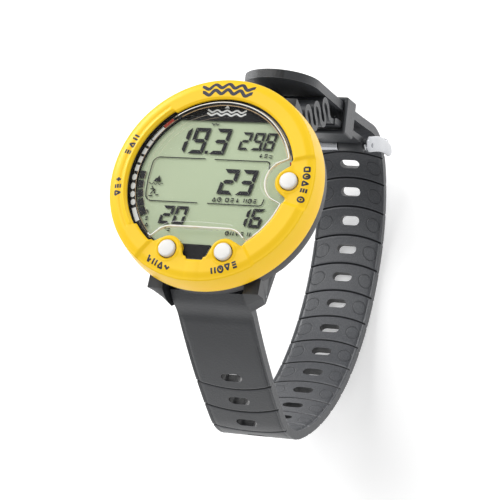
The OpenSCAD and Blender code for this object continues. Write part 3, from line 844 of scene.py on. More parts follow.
@dataclass(frozen=True)
class Dial:
    """Sizes round the dial, in millimetres, with angles in degrees from three o'clock."""

    top: float = 27.2
    rise: float = 0.8
    seat: float = 24.4
    crease: float = 38.9
    foot: float = 40.0
    foot_z: float = 17.42
    window: float = 31.3
    button_at: float = 30.0
    button_angles: tuple[float, float, float] = (0.0, -111.0, -69.0)
    lobe: float = 5.2
    hole: float = 3.45
    lip_from: float = 126.0
    lip_to: float = 218.0
    lip_wide: float = 1.0

    def turn_from(self, a: Array, centre: float) -> Array:
        """Angle from a centre, in degrees, between -180 and 180."""
        return (a - centre + 180) % 360 - 180

    def centres(self) -> Array:
        """The three button centres in X and Y."""
        a = np.radians(self.button_angles)
        return self.button_at * np.stack([np.cos(a), np.sin(a)], -1)

    def lip_share(self, a: Array, start: float, end: float) -> Array:
        """How far an angle lies within the left lip.

        Args:
            a: angles in degrees.
            start: where the soft rise begins, in degrees inside each end of the lip.
            end: where it is complete.

        Returns:
            0 outside the lip and 1 inside it.
        """
        turn = a % 360
        rise = smooth(turn, self.lip_from + start, self.lip_from + end)
        return rise * (1 - smooth(turn, self.lip_to - end, self.lip_to - start))

    def window_at(self, a: Array) -> Array:
        """Inner edge of the boot without its lobes: the window radius, wider past the left lip, narrower
        lower right.

        Args:
            a: angles in degrees.

        Returns:
            The radius at each angle.
        """
        left = self.lip_share(a, 0.0, 1.5)
        d = self.turn_from(a, -35.0)
        low = smooth(-np.abs(d), -24.0, -18.0)
        return self.window + self.lip_wide * left - 1.1 * low

    def inner_at(self, a: Array) -> Array:
        """Inner edge of the boot: the window, drawn in to the near side of each button's lobe.

        On a ray at angle d from a button the lobe's near side lies at c cos d - sqrt(l^2 - c^2 sin^2 d), and
        it blends out to the window over the next few degrees by way of a small shoulder.

        Args:
            a: angles in degrees.

        Returns:
            The radius at each angle.
        """
        edge = self.window_at(a)
        for k, centre in enumerate(self.button_angles):
            d = np.abs(self.turn_from(a, centre))
            s = np.radians(np.minimum(d, 9.0))
            near = self.button_at * np.cos(s) - np.sqrt(self.lobe ** 2 - (self.button_at * np.sin(s)) ** 2)
            shoulder = near + (30.35 - near) * smooth(d, 8.6, 12.6 if k == 0 else 13.4)
            edge = np.minimum(edge, shoulder + (edge - shoulder) * smooth(d, 14.2, 15.8))
        return edge

    def panel(self, x: Array, y: Array) -> Array:
        """How far a place lies in the sunk panels behind the buttons: 0 outside, 1 inside, with ramps
        between.

        Args:
            x: X in millimetres.
            y: Y in millimetres.

        Returns:
            The share at each place.
        """
        a = np.degrees(np.arctan2(y, x))
        right = 1 - smooth(np.abs(self.turn_from(a, 0.0)), 14.0, 16.4)
        low = 1 - smooth(np.abs(self.turn_from(a, -90.0)), 34.0, 36.6)
        middle = 1 - smooth(np.abs(self.turn_from(a, -90.0)), 2.0, 5.0)
        return np.maximum(right, low) - 0.22 * middle

    def height(self, x: Array, y: Array) -> Array:
        """Height of the boot's top face: a crowned band that falls to the crease and rolls in at the window.

        A panel sinks it behind the buttons, a ring stands round each button, and a bead runs along the left
        lip.

        Args:
            x: X in millimetres.
            y: Y in millimetres.

        Returns:
            The height at each place.
        """
        r = np.hypot(x, y)
        a = np.degrees(np.arctan2(y, x))
        inner = self.inner_at(a)
        z = self.top + self.rise * smooth(self.crease - r, 0.0, 3.2)
        z = z - 0.42 * (1 - smooth(r - inner, 0.0, 1.1)) ** 2
        left = self.lip_share(a, 1.0, 3.0)
        bead = np.exp(-(((r - inner) - 1.0) / 0.55) ** 2)
        z = z + 0.34 * left * bead - 0.18 * left * np.exp(-(((r - inner) - 2.5) / 0.5) ** 2)
        z = z - 0.85 * self.panel(x, y) * smooth(r, 29.2, 31.8)
        z = z - 0.45 * self.panel(x, y) * (1 - smooth(r, 29.2, 31.8))
        for cx, cy in self.centres():
            d = np.hypot(x - cx, y - cy)
            z = z + 0.22 * np.exp(-((d - 4.25) / 0.42) ** 2) - 0.22 * np.exp(-((d - 3.4) / 0.28) ** 2)
        return z


DIAL = Dial()


def ring_run(r: float = 0.5, steps: int = 20) -> list[tuple[float, float]]:
    """A closed run of points round a small ring."""
    a = np.linspace(0, 2 * np.pi, steps + 1)
    return list(zip(r * np.cos(a), r * np.sin(a)))


class Sign(Enum):
    """Small plain signs, each a set of runs inside a unit square about the origin."""

    CLOCK = [ring_run(), [(0.0, 0.32), (0.0, 0.0), (0.24, 0.0)]]
    POWER = [ring_run(), [(0.0, -0.17), (0.0, 0.17)]]
    UP = [[(-0.48, -0.45), (0.0, 0.45), (0.48, -0.45), (-0.48, -0.45)]]
    DOWN = [[(-0.48, 0.45), (0.0, -0.45), (0.48, 0.45), (-0.48, 0.45)]]
    LEVELS = [[(-0.42, 0.42), (0.42, 0.42)], [(-0.42, 0.0), (0.42, 0.0)], [(-0.42, -0.42), (0.42, -0.42)]]
    POSTS = [[(-0.36, -0.5), (-0.36, 0.5)], [(0.36, -0.5), (0.36, 0.5)]]
    BOX = [[(-0.42, -0.42), (-0.42, 0.42), (0.42, 0.42), (0.42, -0.42), (-0.42, -0.42)]]
    WAVE = [[(-0.5, 0.0), (-0.33, 0.25), (-0.1, 0.0), (0.1, -0.25), (0.33, 0.0), (0.5, 0.25)]]
    STEPS = [[(-0.5, 0.42), (-0.22, 0.42), (-0.1, -0.42), (0.14, -0.42), (0.24, 0.0), (0.5, 0.0)]]
    PLUS = [[(-0.42, 0.0), (0.42, 0.0)], [(0.0, -0.42), (0.0, 0.42)]]
    ARROW = [[(0.0, 0.5), (0.0, -0.4)], [(-0.34, -0.08), (0.0, -0.45), (0.34, -0.08)]]
    BAR = [[(-0.46, -0.45), (0.46, -0.45)], [(-0.46, 0.1), (0.46, 0.1)]]

    def shapes(self, x: float, y: float, turn: float, size: tuple[float, float], wide: float,
               lift: Callable[[Array, Array], Array], material: int = 0) -> list[Shape]:
        """Draws the sign at a place.

        Args:
            x: middle in X.
            y: middle in Y.
            turn: turn in degrees.
            size: width and height in millimetres.
            wide: width of its lines.
            lift: height function that it lies on.
            material: material index.

        Returns:
            One printed line for each run.
        """
        c, s = math.cos(math.radians(turn)), math.sin(math.radians(turn))
        out = []
        for run in self.value:
            p = along(np.array(run) * (np.array(size) - wide), 0.25)
            line = np.stack([x + p[:, 0] * c - p[:, 1] * s, y + p[:, 0] * s + p[:, 1] * c], -1)
            out.append(stroke(line, wide, lift, material))
        return out


@dataclass
class Boot:
    """The soft yellow ring boot with its lobes, panels, bead and printed signs."""

    dial: Dial = DIAL
    fine: float = 0.36
    coarse: float = 1.0
    under_z: float = 26.64
    flange_r: float = 32.4

    def angles(self) -> Array:
        """Angles round the ring: close together near the buttons and the ends of the lip, wider elsewhere.

        Returns:
            The angles in degrees.
        """
        spots = [(c, 17.0) for c in self.dial.button_angles] + [(127.0, 3.0), (217.0, 3.0)]
        a = np.arange(0, 360, self.fine)
        near = np.zeros(len(a), bool)
        for centre, wide in spots:
            near |= np.abs(self.dial.turn_from(a, centre)) < wide
        keep = near | (np.arange(len(a)) % max(1, round(self.coarse / self.fine)) == 0)
        return a[keep]

    def section(self, a: Array) -> Array:
        """Points of the closed section at each angle: up the inner wall, over the top, down the side, back
        under.

        The top runs from the inner edge to the crease; the side is a straight slope with a slight belly; the
        foot turns in to the case and the hidden wall climbs back to the underside of the lip.

        Args:
            a: angles in degrees.

        Returns:
            Points by angle and place in the section.
        """
        d = self.dial
        rad = np.radians(a)
        c, s = np.cos(rad)[:, None], np.sin(rad)[:, None]
        inner = d.inner_at(a)[:, None]
        lobe = np.max([1 - smooth(np.abs(d.turn_from(a, k)), 8.8, 9.6) for k in d.button_angles], 0)[:, None]
        under = self.under_z + (d.seat + 0.05 - self.under_z) * lobe
        t = np.linspace(0, 1, 84)[None]
        r_top = inner + (d.crease - 0.25 - inner) * t
        z_top = d.height(r_top * c, r_top * s)
        q = np.linspace(0, 1, 7)[None]
        z0 = z_top[:, :1]
        wall_z = under + (z0 - 0.05 - under) * q
        f = np.linspace(0, np.pi / 2, 7)[None, 1:]
        z1 = z_top[:, -1:]
        arc_r = d.crease - 0.25 + 0.55 * np.sin(f) * (1 + 0 * z1)
        arc_z = z1 - 0.62 * (1 - np.cos(f))
        g = np.linspace(0, 1, 14)[None, 1:]
        side_r = arc_r[:, -1:] + (d.foot - arc_r[:, -1:]) * g + 0.16 * np.sin(np.pi * g)
        side_z = arc_z[:, -1:] + (d.foot_z + 0.5 - arc_z[:, -1:]) * g
        one = np.ones_like(inner)
        foot_r = np.concatenate([d.foot - 0.15 * one, d.foot - 0.6 * one, 36.6 * one, 36.3 * one, 36.3 * one,
                                 35.4 * one, 34.2 * one, self.flange_r * one], 1)
        foot_z = np.concatenate([(d.foot_z + 0.12) * one, d.foot_z * one, d.foot_z * one,
                                 (d.foot_z + 0.3) * one,
                                 26.4 * one, self.under_z * one, under, under], 1)
        back_r = np.linspace(0, 1, 8)[None, 1:-1]
        under_r = self.flange_r + (inner - self.flange_r) * back_r
        under_z = under + 0 * under_r
        r = np.concatenate([inner + 0 * wall_z, r_top[:, 1:], arc_r, side_r, foot_r, under_r], 1)
        z = np.concatenate([wall_z, z_top[:, 1:], arc_z, side_z, foot_z, under_z], 1)
        return np.stack([r * c, r * s, z], -1)

    def build(self) -> bpy.types.Object:
        """Makes the ring, then cuts the three button holes straight through its lobes.

        Returns:
            The boot.
        """
        pts = self.section(self.angles())
        ring = grid_shape(pts, wrap_rows=True, wrap_cols=True)
        boot = piece("ring_boot", [ring], [boot_material()], None, sharp=38)
        drill_shapes = [moved(s, (cx, cy, 0)) for cx, cy in self.dial.centres() for s in self.drill()]
        drill = piece("drill", drill_shapes, [boot_material()], None, weld=0.001)
        cut = boot.modifiers.new("holes", "BOOLEAN")
        cut.object = drill
        cut.solver = "EXACT"
        apply_modifier(boot, "holes")
        bpy.data.objects.remove(drill)
        finish_mesh(boot, 0, 38)
        seat(boot, "case", ["bezel_boot"], "boot_rubber")
        return boot

    def drill(self) -> list[Shape]:
        """A plug as wide as a button hole, from under the lobes to above the boot.

        Returns:
            The wall and both ends.
        """
        a = np.linspace(0, 2 * np.pi, 72, endpoint=False)
        r = self.dial.hole
        low = np.stack([r * np.cos(a), r * np.sin(a), np.full(72, 20.0)], -1)
        high = low + np.array([0, 0, 12.0])
        wall = grid_shape(np.stack([low, high]), wrap_cols=True)
        return [wall, fan(low, low.mean(0)), fan(high, high.mean(0), flip=True)]

    def signs(self) -> bpy.types.Object:
        """Printed signs in navy: a double wave at twelve o'clock and a small sign for each button and side.

        Each line is laid on the boot's height and lifted by three hundredths of a millimetre.

        Returns:
            The printed signs.
        """
        def lift(x: Array, y: Array) -> Array:
            """Height of the print."""
            return self.dial.height(x, y) + 0.03

        out: list[Shape] = []
        t = np.linspace(-1, 1, 161)
        for level, wide in ((1.4, 1.3), (-1.0, 1.3)):
            angle = np.radians(90.0) - t * 0.285
            r = 34.9 + level + 0.8 * np.cos(t * math.pi * 4.0)
            out.append(stroke(np.stack([r * np.cos(angle), r * np.sin(angle)], -1), wide, lift))

        rows = ((36.2, (8.0, 3.7, -0.6, -4.9), -90.0, (Sign.BOX, Sign.CLOCK, Sign.UP, Sign.LEVELS)),
                (36.2, (-10.4,), -90.0, (Sign.POWER,)),
                (35.3, (166.0, 161.0, 156.0), -90.0, (Sign.LEVELS, Sign.UP, Sign.POSTS)),
                (35.6, (192.6, 188.3, 184.0), -90.0, (Sign.DOWN, Sign.LEVELS, Sign.PLUS)),
                (36.3, (242.0, 246.2, 250.4, 254.6), 90.0, (Sign.STEPS, Sign.POSTS, Sign.UP, Sign.WAVE)),
                (36.0, (283.4, 287.6, 291.8, 296.0), 90.0, (Sign.POSTS, Sign.CLOCK, Sign.DOWN, Sign.LEVELS)))
        for r, angles, turn, signs in rows:
            for angle, sign in zip(angles, signs):
                a = math.radians(angle)
                out += sign.shapes(r * math.cos(a), r * math.sin(a), angle + turn, (2.5, 2.9), 0.68, lift)
        return piece("boot_signs", out, [finish_of(Tone.MARK)], "case", slot="mask_print")


@dataclass
class Cover:
    """The clear cover: a raised face with a cut round each button group, a bevel with painted highlights and
    a lower step.
    """

    dial: Dial = DIAL
    face_r: float = 30.0
    face_z: float = 27.7
    step_z: float = 26.42
    notch: float = 8.7
    flange_r: float = 32.4

    def outline(self, a: Array) -> Array:
        """Radius of the raised face on each ray: the full circle, or the near side of a cut.

        The right cut is a circle round its button. The lower cut is two such circles joined by a straight
        line, so on a ray between the buttons the edge lies at height / cos of the angle from six o'clock.

        Args:
            a: angles in degrees.

        Returns:
            The radius at each angle.
        """
        d = self.dial
        out = np.full(len(a), self.face_r)
        for centre in d.button_angles:
            off = np.abs(d.turn_from(a, centre))
            s = np.radians(np.minimum(off, 16.0))
            across = d.button_at * np.sin(s)
            near = d.button_at * np.cos(s) - np.sqrt(np.maximum(self.notch ** 2 - across ** 2, 0))
            out = np.minimum(out, near + (self.face_r - near) * smooth(off, 15.6, 17.2))
        low = d.turn_from(a, -90.0)
        flat = -(d.centres()[1, 1] + self.notch)
        line = flat / np.cos(np.radians(np.clip(low, -60, 60)))
        half = math.degrees(math.atan2(d.centres()[2, 0], flat))
        return np.where(np.abs(low) <= half, np.minimum(out, line), out)

    def build(self) -> bpy.types.Object:
        """Makes the raised face, its bevel, the step and the hidden flange as one closed shell.

        Returns:
            The cover.
        """
        d = self.dial
        a = np.arange(0, 360, 0.5)
        c, s = np.cos(np.radians(a))[:, None], np.sin(np.radians(a))[:, None]
        edge = self.outline(a)[:, None]
        hole = np.minimum(d.inner_at(a)[:, None] - 0.3, self.flange_r)
        hole = np.maximum(hole, edge + 0.75)
        lobe = np.max([1 - smooth(np.abs(d.turn_from(a, k)), 9.0, 10.4) for k in d.button_angles], 0)[:, None]
        rim = self.flange_r + (hole - self.flange_r) * lobe

        def rings(radii: Sequence[Array | float], heights: Sequence[float]) -> Array:
            """Rings of points at these radii and heights.

            Args:
                radii: radius of each ring, one value or one for each angle.
                heights: height of each ring.

            Returns:
                The points by angle and ring.
            """
            r = np.concatenate([np.broadcast_to(k, edge.shape) for k in radii], 1)
            z = np.broadcast_to(np.array(heights, float)[None], r.shape)
            return np.stack([r * c, r * s, z], -1)

        zf, zs = self.face_z, self.step_z
        top = rings([0.02, edge * 0.5, edge - 1.3, edge - 0.18], [zf] * 4)
        bevel = rings([edge - 0.18, edge - 0.06, edge + 0.06, edge + 0.16, edge + 0.24, edge + 0.36,
                       edge + 0.55],
                      [zf, zf - 0.03, zf - 0.12, zs + 0.8, zs + 0.4, zs + 0.1, zs])
        base = rings([edge + 0.55, rim, rim, rim - 0.4, 0.02],
                     [zs, zs, d.seat + 0.6, d.seat + 0.58, d.seat + 0.58])
        uv = np.stack(np.meshgrid(a / 360, np.linspace(0, 1, bevel.shape[1]), indexing="ij"), -1)
        shapes = [grid_shape(top, wrap_rows=True), grid_shape(bevel, wrap_rows=True, material=1, uv=uv),
                  grid_shape(base, wrap_rows=True)]
        face = clear_material("cover_clear", (0.93, 0.96, 0.94), 0.006, 0.03)
        bright = edge_material()
        return piece("clear_cover", shapes, [face, bright], "case", ["display_cover"], "clear_cover",
                     weld=0.0005)

    def glints(self) -> bpy.types.Object:
        """Painted highlight and reflection lines for the light on the cover's thick edge: white at its rim,
        amber just inside, faint arcs further in.

        Returns:
            The lines.
        """
        def arc(a0: float, a1: float, inset: float, wide: float, level: float, material: int) -> Shape:
            """A line that follows the raised face's edge between two angles.

            Args:
                a0: first angle in degrees.
                a1: last angle in degrees.
                inset: how far inside the edge it lies.
                wide: width of the line.
                level: its height.
                material: material index.

            Returns:
                The shape.
            """
            a = np.arange(a0, a1, 0.5)
            r = self.outline(a % 360) - inset
            line = np.stack([r * np.cos(np.radians(a)), r * np.sin(np.radians(a))], -1)
            return stroke(line, wide, flat_at(level), material=material)

        # Painted glints: each row is one highlight or reflection line.
        face, inside = self.face_z + 0.01, 26.6
        rows = ((-46, 127, 0.22, 0.28, face, 0), (229, 308, 0.24, 0.32, face, 0),
                (18, 125, 0.95, 0.34, inside, 1), (-17, 16, 0.75, 0.2, inside, 1),
                (238, 302, 0.8, 0.2, inside, 1), (232, 305, 2.0, 0.2, face, 3), (-16, 17, 1.7, 0.18, face, 3),
                (304, 341, 0.9, 0.26, inside, 1), (128, 232, 0.6, 0.16, 26.2, 1),
                (100, 215, 3.4, 0.28, 25.4, 2), (96, 205, 5.2, 0.22, 25.3, 2))
        lines = [arc(*row) for row in rows]
        return piece("cover_glints", lines, [clear_material("glint_white", (0.97, 0.96, 0.93), 0.85, 0.2),
                                             clear_material("glint_amber", (0.72, 0.46, 0.20), 0.6, 0.2),
                                             clear_material("glint_faint", (0.80, 0.66, 0.46), 0.22, 0.2),
                                             clear_material("glint_soft", (0.95, 0.95, 0.90), 0.42, 0.2)],
                     "case", slot="clear_cover")


class Segment(Enum):
    """The seven strokes of a digit."""

    TOP = 0
    UPPER_RIGHT = 1
    LOWER_RIGHT = 2
    BOTTOM = 3
    LOWER_LEFT = 4
    UPPER_LEFT = 5
    MIDDLE = 6


DIGITS = {"0": (0, 1, 2, 3, 4, 5), "1": (1, 2), "2": (0, 1, 6, 4, 3), "3": (0, 1, 6, 2, 3),
          "6": (0, 5, 4, 3, 2, 6), "8": (0, 1, 2, 3, 4, 5, 6), "9": (0, 1, 2, 3, 5, 6)}


@dataclass
class Display:
    """The display: reflector, printed mask with its windows, and the dark segments that stand just above."""

    dial: Dial = DIAL
    face_z: float = 23.55
    ink_z: float = 24.12
    mask_z: float = 24.36
    top: float = 23.7
    bottom: float = -24.6
    slant: float = 0.16

    def digit(self, text: str, x: float, y: float, high: float, pitch: float, wide: float,
              thick: float) -> list[Shape]:
        """Slanted seven-stroke digits with their foot at x, y.

        Each outer stroke is a bar whose outer side runs on to the corner and whose inner side stops short, so
        that neighbours meet along a diagonal; the middle one has pointed ends. Then x leans by slant times y.

        Args:
            text: the digits.
            x: left foot of the first digit.
            y: foot line of the digits.
            high: height of a digit.
            pitch: distance from digit to digit.
            wide: width of a digit.
            thick: width of a stroke.

        Returns:
            One flat shape for each stroke.
        """
        out = []
        for k, mark in enumerate(text):
            h, w, g, e = high - thick, wide - thick, 0.05 * thick, thick / 2
            spots = {Segment.TOP: ((0, h), (w, h), 1, 1), Segment.UPPER_RIGHT: ((w, h), (w, h / 2), 1, 0),
                     Segment.LOWER_RIGHT: ((w, h / 2), (w, 0), 0, 1), Segment.BOTTOM: ((w, 0), (0, 0), 1, 1),
                     Segment.LOWER_LEFT: ((0, 0), (0, h / 2), 1, 0),
                     Segment.UPPER_LEFT: ((0, h / 2), (0, h), 0, 1)}
            for number in DIGITS[mark]:
                if Segment(number) is Segment.MIDDLE:
                    m, a, b = h / 2, g * 2, w - g * 2
                    ring = np.array([(a, m), (a + e, m + e), (b - e, m + e), (b, m), (b - e, m - e),
                                     (a + e, m - e)])
                else:
                    p, q, start, end = spots[Segment(number)]
                    p, q = np.array(p, float), np.array(q, float)
                    t = (q - p) / np.linalg.norm(q - p)
                    n = np.array([-t[1], t[0]]) * e
                    p, q = p + t * g, q - t * g
                    ring = np.array([p - t * e * start + n, q + t * e * end + n,
                                     q + (t * 0 if end else -t * e * 0.4),
                                     q - t * e - n, p + t * e - n, p + (t * 0 if start else t * e * 0.4)])
                ring = ring + e
                ring[:, 0] += ring[:, 1] * self.slant
                out.append(poly(ring + np.array([x + k * pitch, y]), self.ink_z))
        return out

    def dot(self, x: float, y: float, size: float) -> Shape:
        """A square decimal point.

        Args:
            x: its middle in X.
            y: its middle in Y.
            size: its side.

        Returns:
            The point.
        """
        h = size / 2
        return poly(np.array([(x - h, y - h), (x + h, y - h), (x + h + 0.1, y + h), (x - h + 0.1, y + h)]),
                    self.ink_z)

    def segments(self) -> bpy.types.Object:
        """All dark strokes: five groups of digits, the ruled box, small signs and the block gauge at the
        left.

        Returns:
            The dark strokes.
        """
        flat = flat_at(self.ink_z)
        out = [self.dot(-5.3, 11.3, 1.2), self.dot(15.5, 13.3, 0.8)]
        for reading in (("19", -20.0, 10.6, 10.3, 7.3, 6.05, 1.45), ("3", -4.35, 10.6, 10.3, 6.7, 6.05, 1.45),
                        ("29", 6.6, 12.8, 7.0, 4.9, 3.95, 0.95), ("8", 16.2, 12.8, 7.0, 4.4, 3.95, 0.95),
                        ("23", 2.0, -4.8, 9.9, 7.1, 6.0, 1.5), ("20", -18.3, -17.3, 7.1, 5.3, 4.6, 1.15),
                        ("16", 11.0, -17.0, 7.3, 5.4, 4.6, 1.15)):
            out += self.digit(*reading)
        thin = 0.38
        bend = np.linspace(0, np.pi / 2, 12)[:, None]
        upper = np.hstack([-22.6 - 2.8 * np.sin(bend), 5.9 + 2.8 * np.cos(bend)])
        lower = np.hstack([-22.6 - 2.8 * np.cos(bend), -6.0 - 2.6 * np.sin(bend)])
        frame_line = np.vstack([along([(-4.9, 8.7), (-22.6, 8.7)]), upper,
                                along([(-25.5, 5.0), (-25.8, 0.0), (-25.5, -5.5)]),
                                lower, along([(-22.4, -8.6), (-4.5, -8.6)])])
        out.append(stroke(frame_line, thin, flat))
        out.append(stroke(along([(-1.3, 8.6), (19.2, 8.6), (20.1, 8.2), (20.4, 5.6)]), thin, flat))
        out.append(stroke(along([(-0.7, -8.6), (19.2, -8.6), (20.2, -8.2), (20.7, -5.9)]), thin, flat))
        t = np.linspace(0, 1, 40)
        rows = (((-4.7, -3.2), 22.5, (1.7, 1.9), (Sign.WAVE, Sign.WAVE)),
                ((16.2, 18.1, 20.0), 10.8, (1.7, 1.8), (Sign.ARROW, Sign.LEVELS, Sign.BAR)),
                ((1.7, 3.7, 6.7, 8.7, 10.7, 13.7, 15.5, 17.4), -6.9, (1.7, 1.9),
                 (Sign.UP, Sign.CLOCK, Sign.BOX, Sign.LEVELS, Sign.ARROW, Sign.POSTS, Sign.CLOCK,
                  Sign.LEVELS)),
                ((9.3, 11.2, 13.1, 15.0, 17.6), -19.6, (1.6, 1.8),
                 (Sign.CLOCK, Sign.POSTS, Sign.DOWN, Sign.LEVELS, Sign.POSTS)),
                ((-15.0,), -18.8, (0.9, 0.9), (Sign.CLOCK,)), ((-13.5,), -19.2, (1.6, 1.8), (Sign.BAR,)))
        for xs, y, size, signs in rows:
            for x, sign in zip(xs, signs):
                out += sign.shapes(x, y, -4.0, size, 0.36, flat)
        for k, sign in enumerate((Sign.CLOCK, Sign.LEVELS, Sign.UP)):
            out += sign.shapes(-23.6 + 0.55 * k, -13.0 - 2.5 * k, 0.0, (1.5, 1.7), 0.34, flat)
        hill = np.array([(-23.6, -1.1), (-20.6, -1.1), (-20.9, 0.2), (-21.6, 1.4), (-22.1, 0.4),
                         (-22.7, 0.3)])
        out.append(poly(hill, self.ink_z))
        out.append(stroke(np.stack([-25.2 + 5.6 * t, -1.9 + 0.3 * np.sin(t * 7 * math.pi)], -1), 0.26, flat))
        for run in ([(-23.6, -2.9), (-22.6, -4.4), (-23.6, -6.0)], [(-24.0, -4.0), (-22.0, -4.2)],
                    [(-22.6, -4.4), (-21.9, -5.8)], [(-24.3, -6.8), (-22.6, -6.6)],
                    [(-21.6, -6.4), (-20.4, -6.2)]):
            out.append(stroke(along(run), 0.42, flat))
        ring = np.radians([177.2, 184.6, 192.0, 199.4, 206.8])
        for k, a in enumerate(ring):
            span = np.radians(3.1 if k < 4 else 3.4)
            q = np.array([(29.5, a - span), (27.2, a - span), (27.2, a + span), (29.5, a + span)])
            out.append(poly(np.stack([q[:, 0] * np.cos(q[:, 1]), q[:, 0] * np.sin(q[:, 1])], -1), self.ink_z))
        return piece("display_segments", out, [finish_of(Tone.SEGMENT)], "case", slot="lcd")

    def glass(self) -> bpy.types.Object:
        """The reflector: a disc cut straight at top and bottom, with real thickness.

        Returns:
            The reflector.
        """
        a = np.linspace(0, 2 * np.pi, 240, endpoint=False)
        r = np.min([np.full(240, 29.9), 24.6 / np.maximum(np.abs(np.sin(a)), 1e-6)], 0)
        ring = np.stack([r * np.cos(a), r * np.sin(a), np.full(240, self.face_z)], -1)
        low = ring - np.array([0, 0, 1.4])
        shapes = [fan(ring, ring.mean(0)), grid_shape(np.stack([low, ring]), wrap_cols=True),
                  fan(low, low.mean(0), flip=True)]
        return piece("display_ground", shapes, [lcd_material()], "case", ["lcd_glass"], "lcd")

    def mask(self) -> bpy.types.Object:
        """The black print: cap at twelve, block at six, a band with white and coloured windows at nine, a
        thin rim.

        Returns:
            The mask.
        """
        z, out = self.mask_z, []
        raised, printed = z + 0.50, z + 0.53

        def band(a0: float, a1: float, r0: float, r1: float, level: float, material: int = 0) -> Shape:
            """A flat arc between two angles and two radii.

            Args:
                a0: first angle in degrees.
                a1: last angle in degrees.
                r0: inner radius.
                r1: outer radius.
                level: its height.
                material: material index.

            Returns:
                The shape.
            """
            a = np.radians(np.linspace(a0, a1, max(3, int(abs(a1 - a0)))))
            r = np.array([r0, r1])
            pts = np.stack([r[None] * np.cos(a)[:, None], r[None] * np.sin(a)[:, None],
                            np.full((len(a), 2), level)], -1)
            return grid_shape(pts, material=material, flip=True)

        a = np.radians(np.linspace(51.5, 128.5, 90))
        cap = np.stack([30.2 * np.cos(a), 30.2 * np.sin(a)], -1)
        low = np.stack([np.linspace(cap[0, 0], cap[-1, 0], 90), np.full(90, self.top)], -1)
        out.append(grid_shape(np.stack([np.column_stack([low, np.full(90, z)]),
                                        np.column_stack([cap, np.full(90, z)])]), flip=True))
        out.append(poly(np.array([(-7.6, self.bottom), (-4.7, -30.4), (2.3, -30.4), (4.3, self.bottom)]), z))
        out.append(band(0, 360, 30.0, 32.3, z + 0.03))
        out.append(band(128.0, 236.0, 29.75, 32.35, raised))
        out.append(band(20, 126, 29.1, 30.2, z + 0.01))
        for centre, half in ((180.0, 2.3), (186.6, 2.3), (192.7, 2.2), (198.6, 2.2)):
            t = np.linspace(0, 2 * np.pi, 28, endpoint=False)
            ang = np.radians(centre + half * np.cos(t) * np.abs(np.cos(t)) ** -0.3)
            rad = 30.95 + 0.88 * np.sin(t)
            out.append(poly(np.stack([rad * np.cos(ang), rad * np.sin(ang)], -1), printed, 1))
        out.append(band(203.0, 213.5, 30.2, 31.8, printed, 1))
        for centre in (173.2, 166.8, 160.4, 154.0):
            out.append(band(centre - 2.3, centre + 2.3, 30.1, 31.7, printed, 1))
        out.append(band(139.5, 151.0, 30.3, 31.4, printed, 1))
        out.append(band(131.0, 139.0, 30.5, 31.7, printed, 2))
        out.append(band(14.4, 16.6, 29.2, 30.9, raised, 2))
        out.append(band(11.6, 14.4, 29.2, 30.9, raised))
        out.append(poly(np.array([(-1.5, 28.9), (0.5, 28.9), (-0.5, 30.3)]), z + 0.06, 1))
        t = np.linspace(0, 1, 60)
        for level in (0.55, -0.75):
            line = np.stack([-8.0 + 15.4 * t, 27.1 + level + 0.42 * np.cos(t * 8 * math.pi)], -1)
            out.append(stroke(line, 0.68, flat_at(z + 0.06), material=1))
        prints = [finish_of(tone) for tone in (Tone.MASK, Tone.WHITE, Tone.RED)]
        return piece("display_mask", out, prints, "case", ["dial_mask"], "mask_print")


@dataclass
class Buttons:
    """The three pearl buttons with their stems, springs, seals and clips."""

    dial: Dial = DIAL
    radius: float = 3.2
    top: float = 28.9
    low: float = 25.2
    names: tuple[str, str, str] = ("mode", "plan", "time")

    def head(self) -> Shape:
        """A crowned head with a rounded shoulder and its stem: one profile turned about the button's axis.

        Returns:
            The head.
        """
        q = np.linspace(0, np.pi / 2, 9)
        r = self.radius
        crown = np.stack([np.linspace(0.02, r - 0.75, 10), self.top - 0.22 * np.linspace(0, 1, 10) ** 2], -1)
        shoulder = np.stack([r - 0.6 + 0.6 * np.sin(q), self.top - 0.85 + 0.6 * np.cos(q)], -1)
        low = np.array([(r, self.low + 0.15), (r - 0.15, self.low), (1.5, self.low), (1.5, 21.9), (1.5, 21.5),
                        (1.0, 21.5),
                        (1.0, 20.6), (1.5, 20.6), (1.5, 19.45), (1.0, 19.45), (1.0, 18.85), (1.5, 18.85),
                        (1.5, 18.65), (1.35, 18.5), (0.02, 18.5)])
        return turned(np.vstack([crown, shoulder, low]), 72)

    def spring(self) -> Shape:
        """Wire of a fifth of a millimetre's radius along a helix of 4.4 turns, drawn close together at its
        ends.

        Returns:
            The wire.
        """
        t = np.linspace(0, 1, 200)
        turn = 2 * np.pi * 4.4 * t
        z = 22.62 + (24.98 - 22.62) * (smooth(t, 0.08, 0.92) * 0.85 + 0.15 * t)
        line = np.stack([2.4 * np.cos(turn), 2.4 * np.sin(turn), z], -1)
        half = np.full(200, 0.19) * np.sqrt(np.clip(np.minimum(t, 1 - t) * 60, 0.01, 1))
        return swept(line, np.array([0.0, 0.0, 1.0]), half, half, ring=10)

    def build(self) -> None:
        """Makes each button's own pieces on its own body; each spring rides on the case, with its own mesh.
        """
        for name, (x, y) in zip(self.names, self.dial.centres()):
            body = f"{name}_button"
            piece(f"{name}_head", [moved(self.head(), (x, y, 0))], [finish_of(Tone.BUTTON)], body,
                  [f"button_{name}"],
                  "button_plastic", sharp=50, weld=0.03)
            wire = piece(f"{name}_spring", [moved(self.spring(), (x, y, 0))], [finish_of(Tone.STEEL)], "case",
                         [f"spring_{name}"], "steel")
            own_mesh(wire)
            refined(f"clip_{name}", finish_of(Tone.STEEL), 0.06, "steel")
            refined(f"seal_{name}", finish_of(Tone.SEAL), 0.0, "seal_rubber")


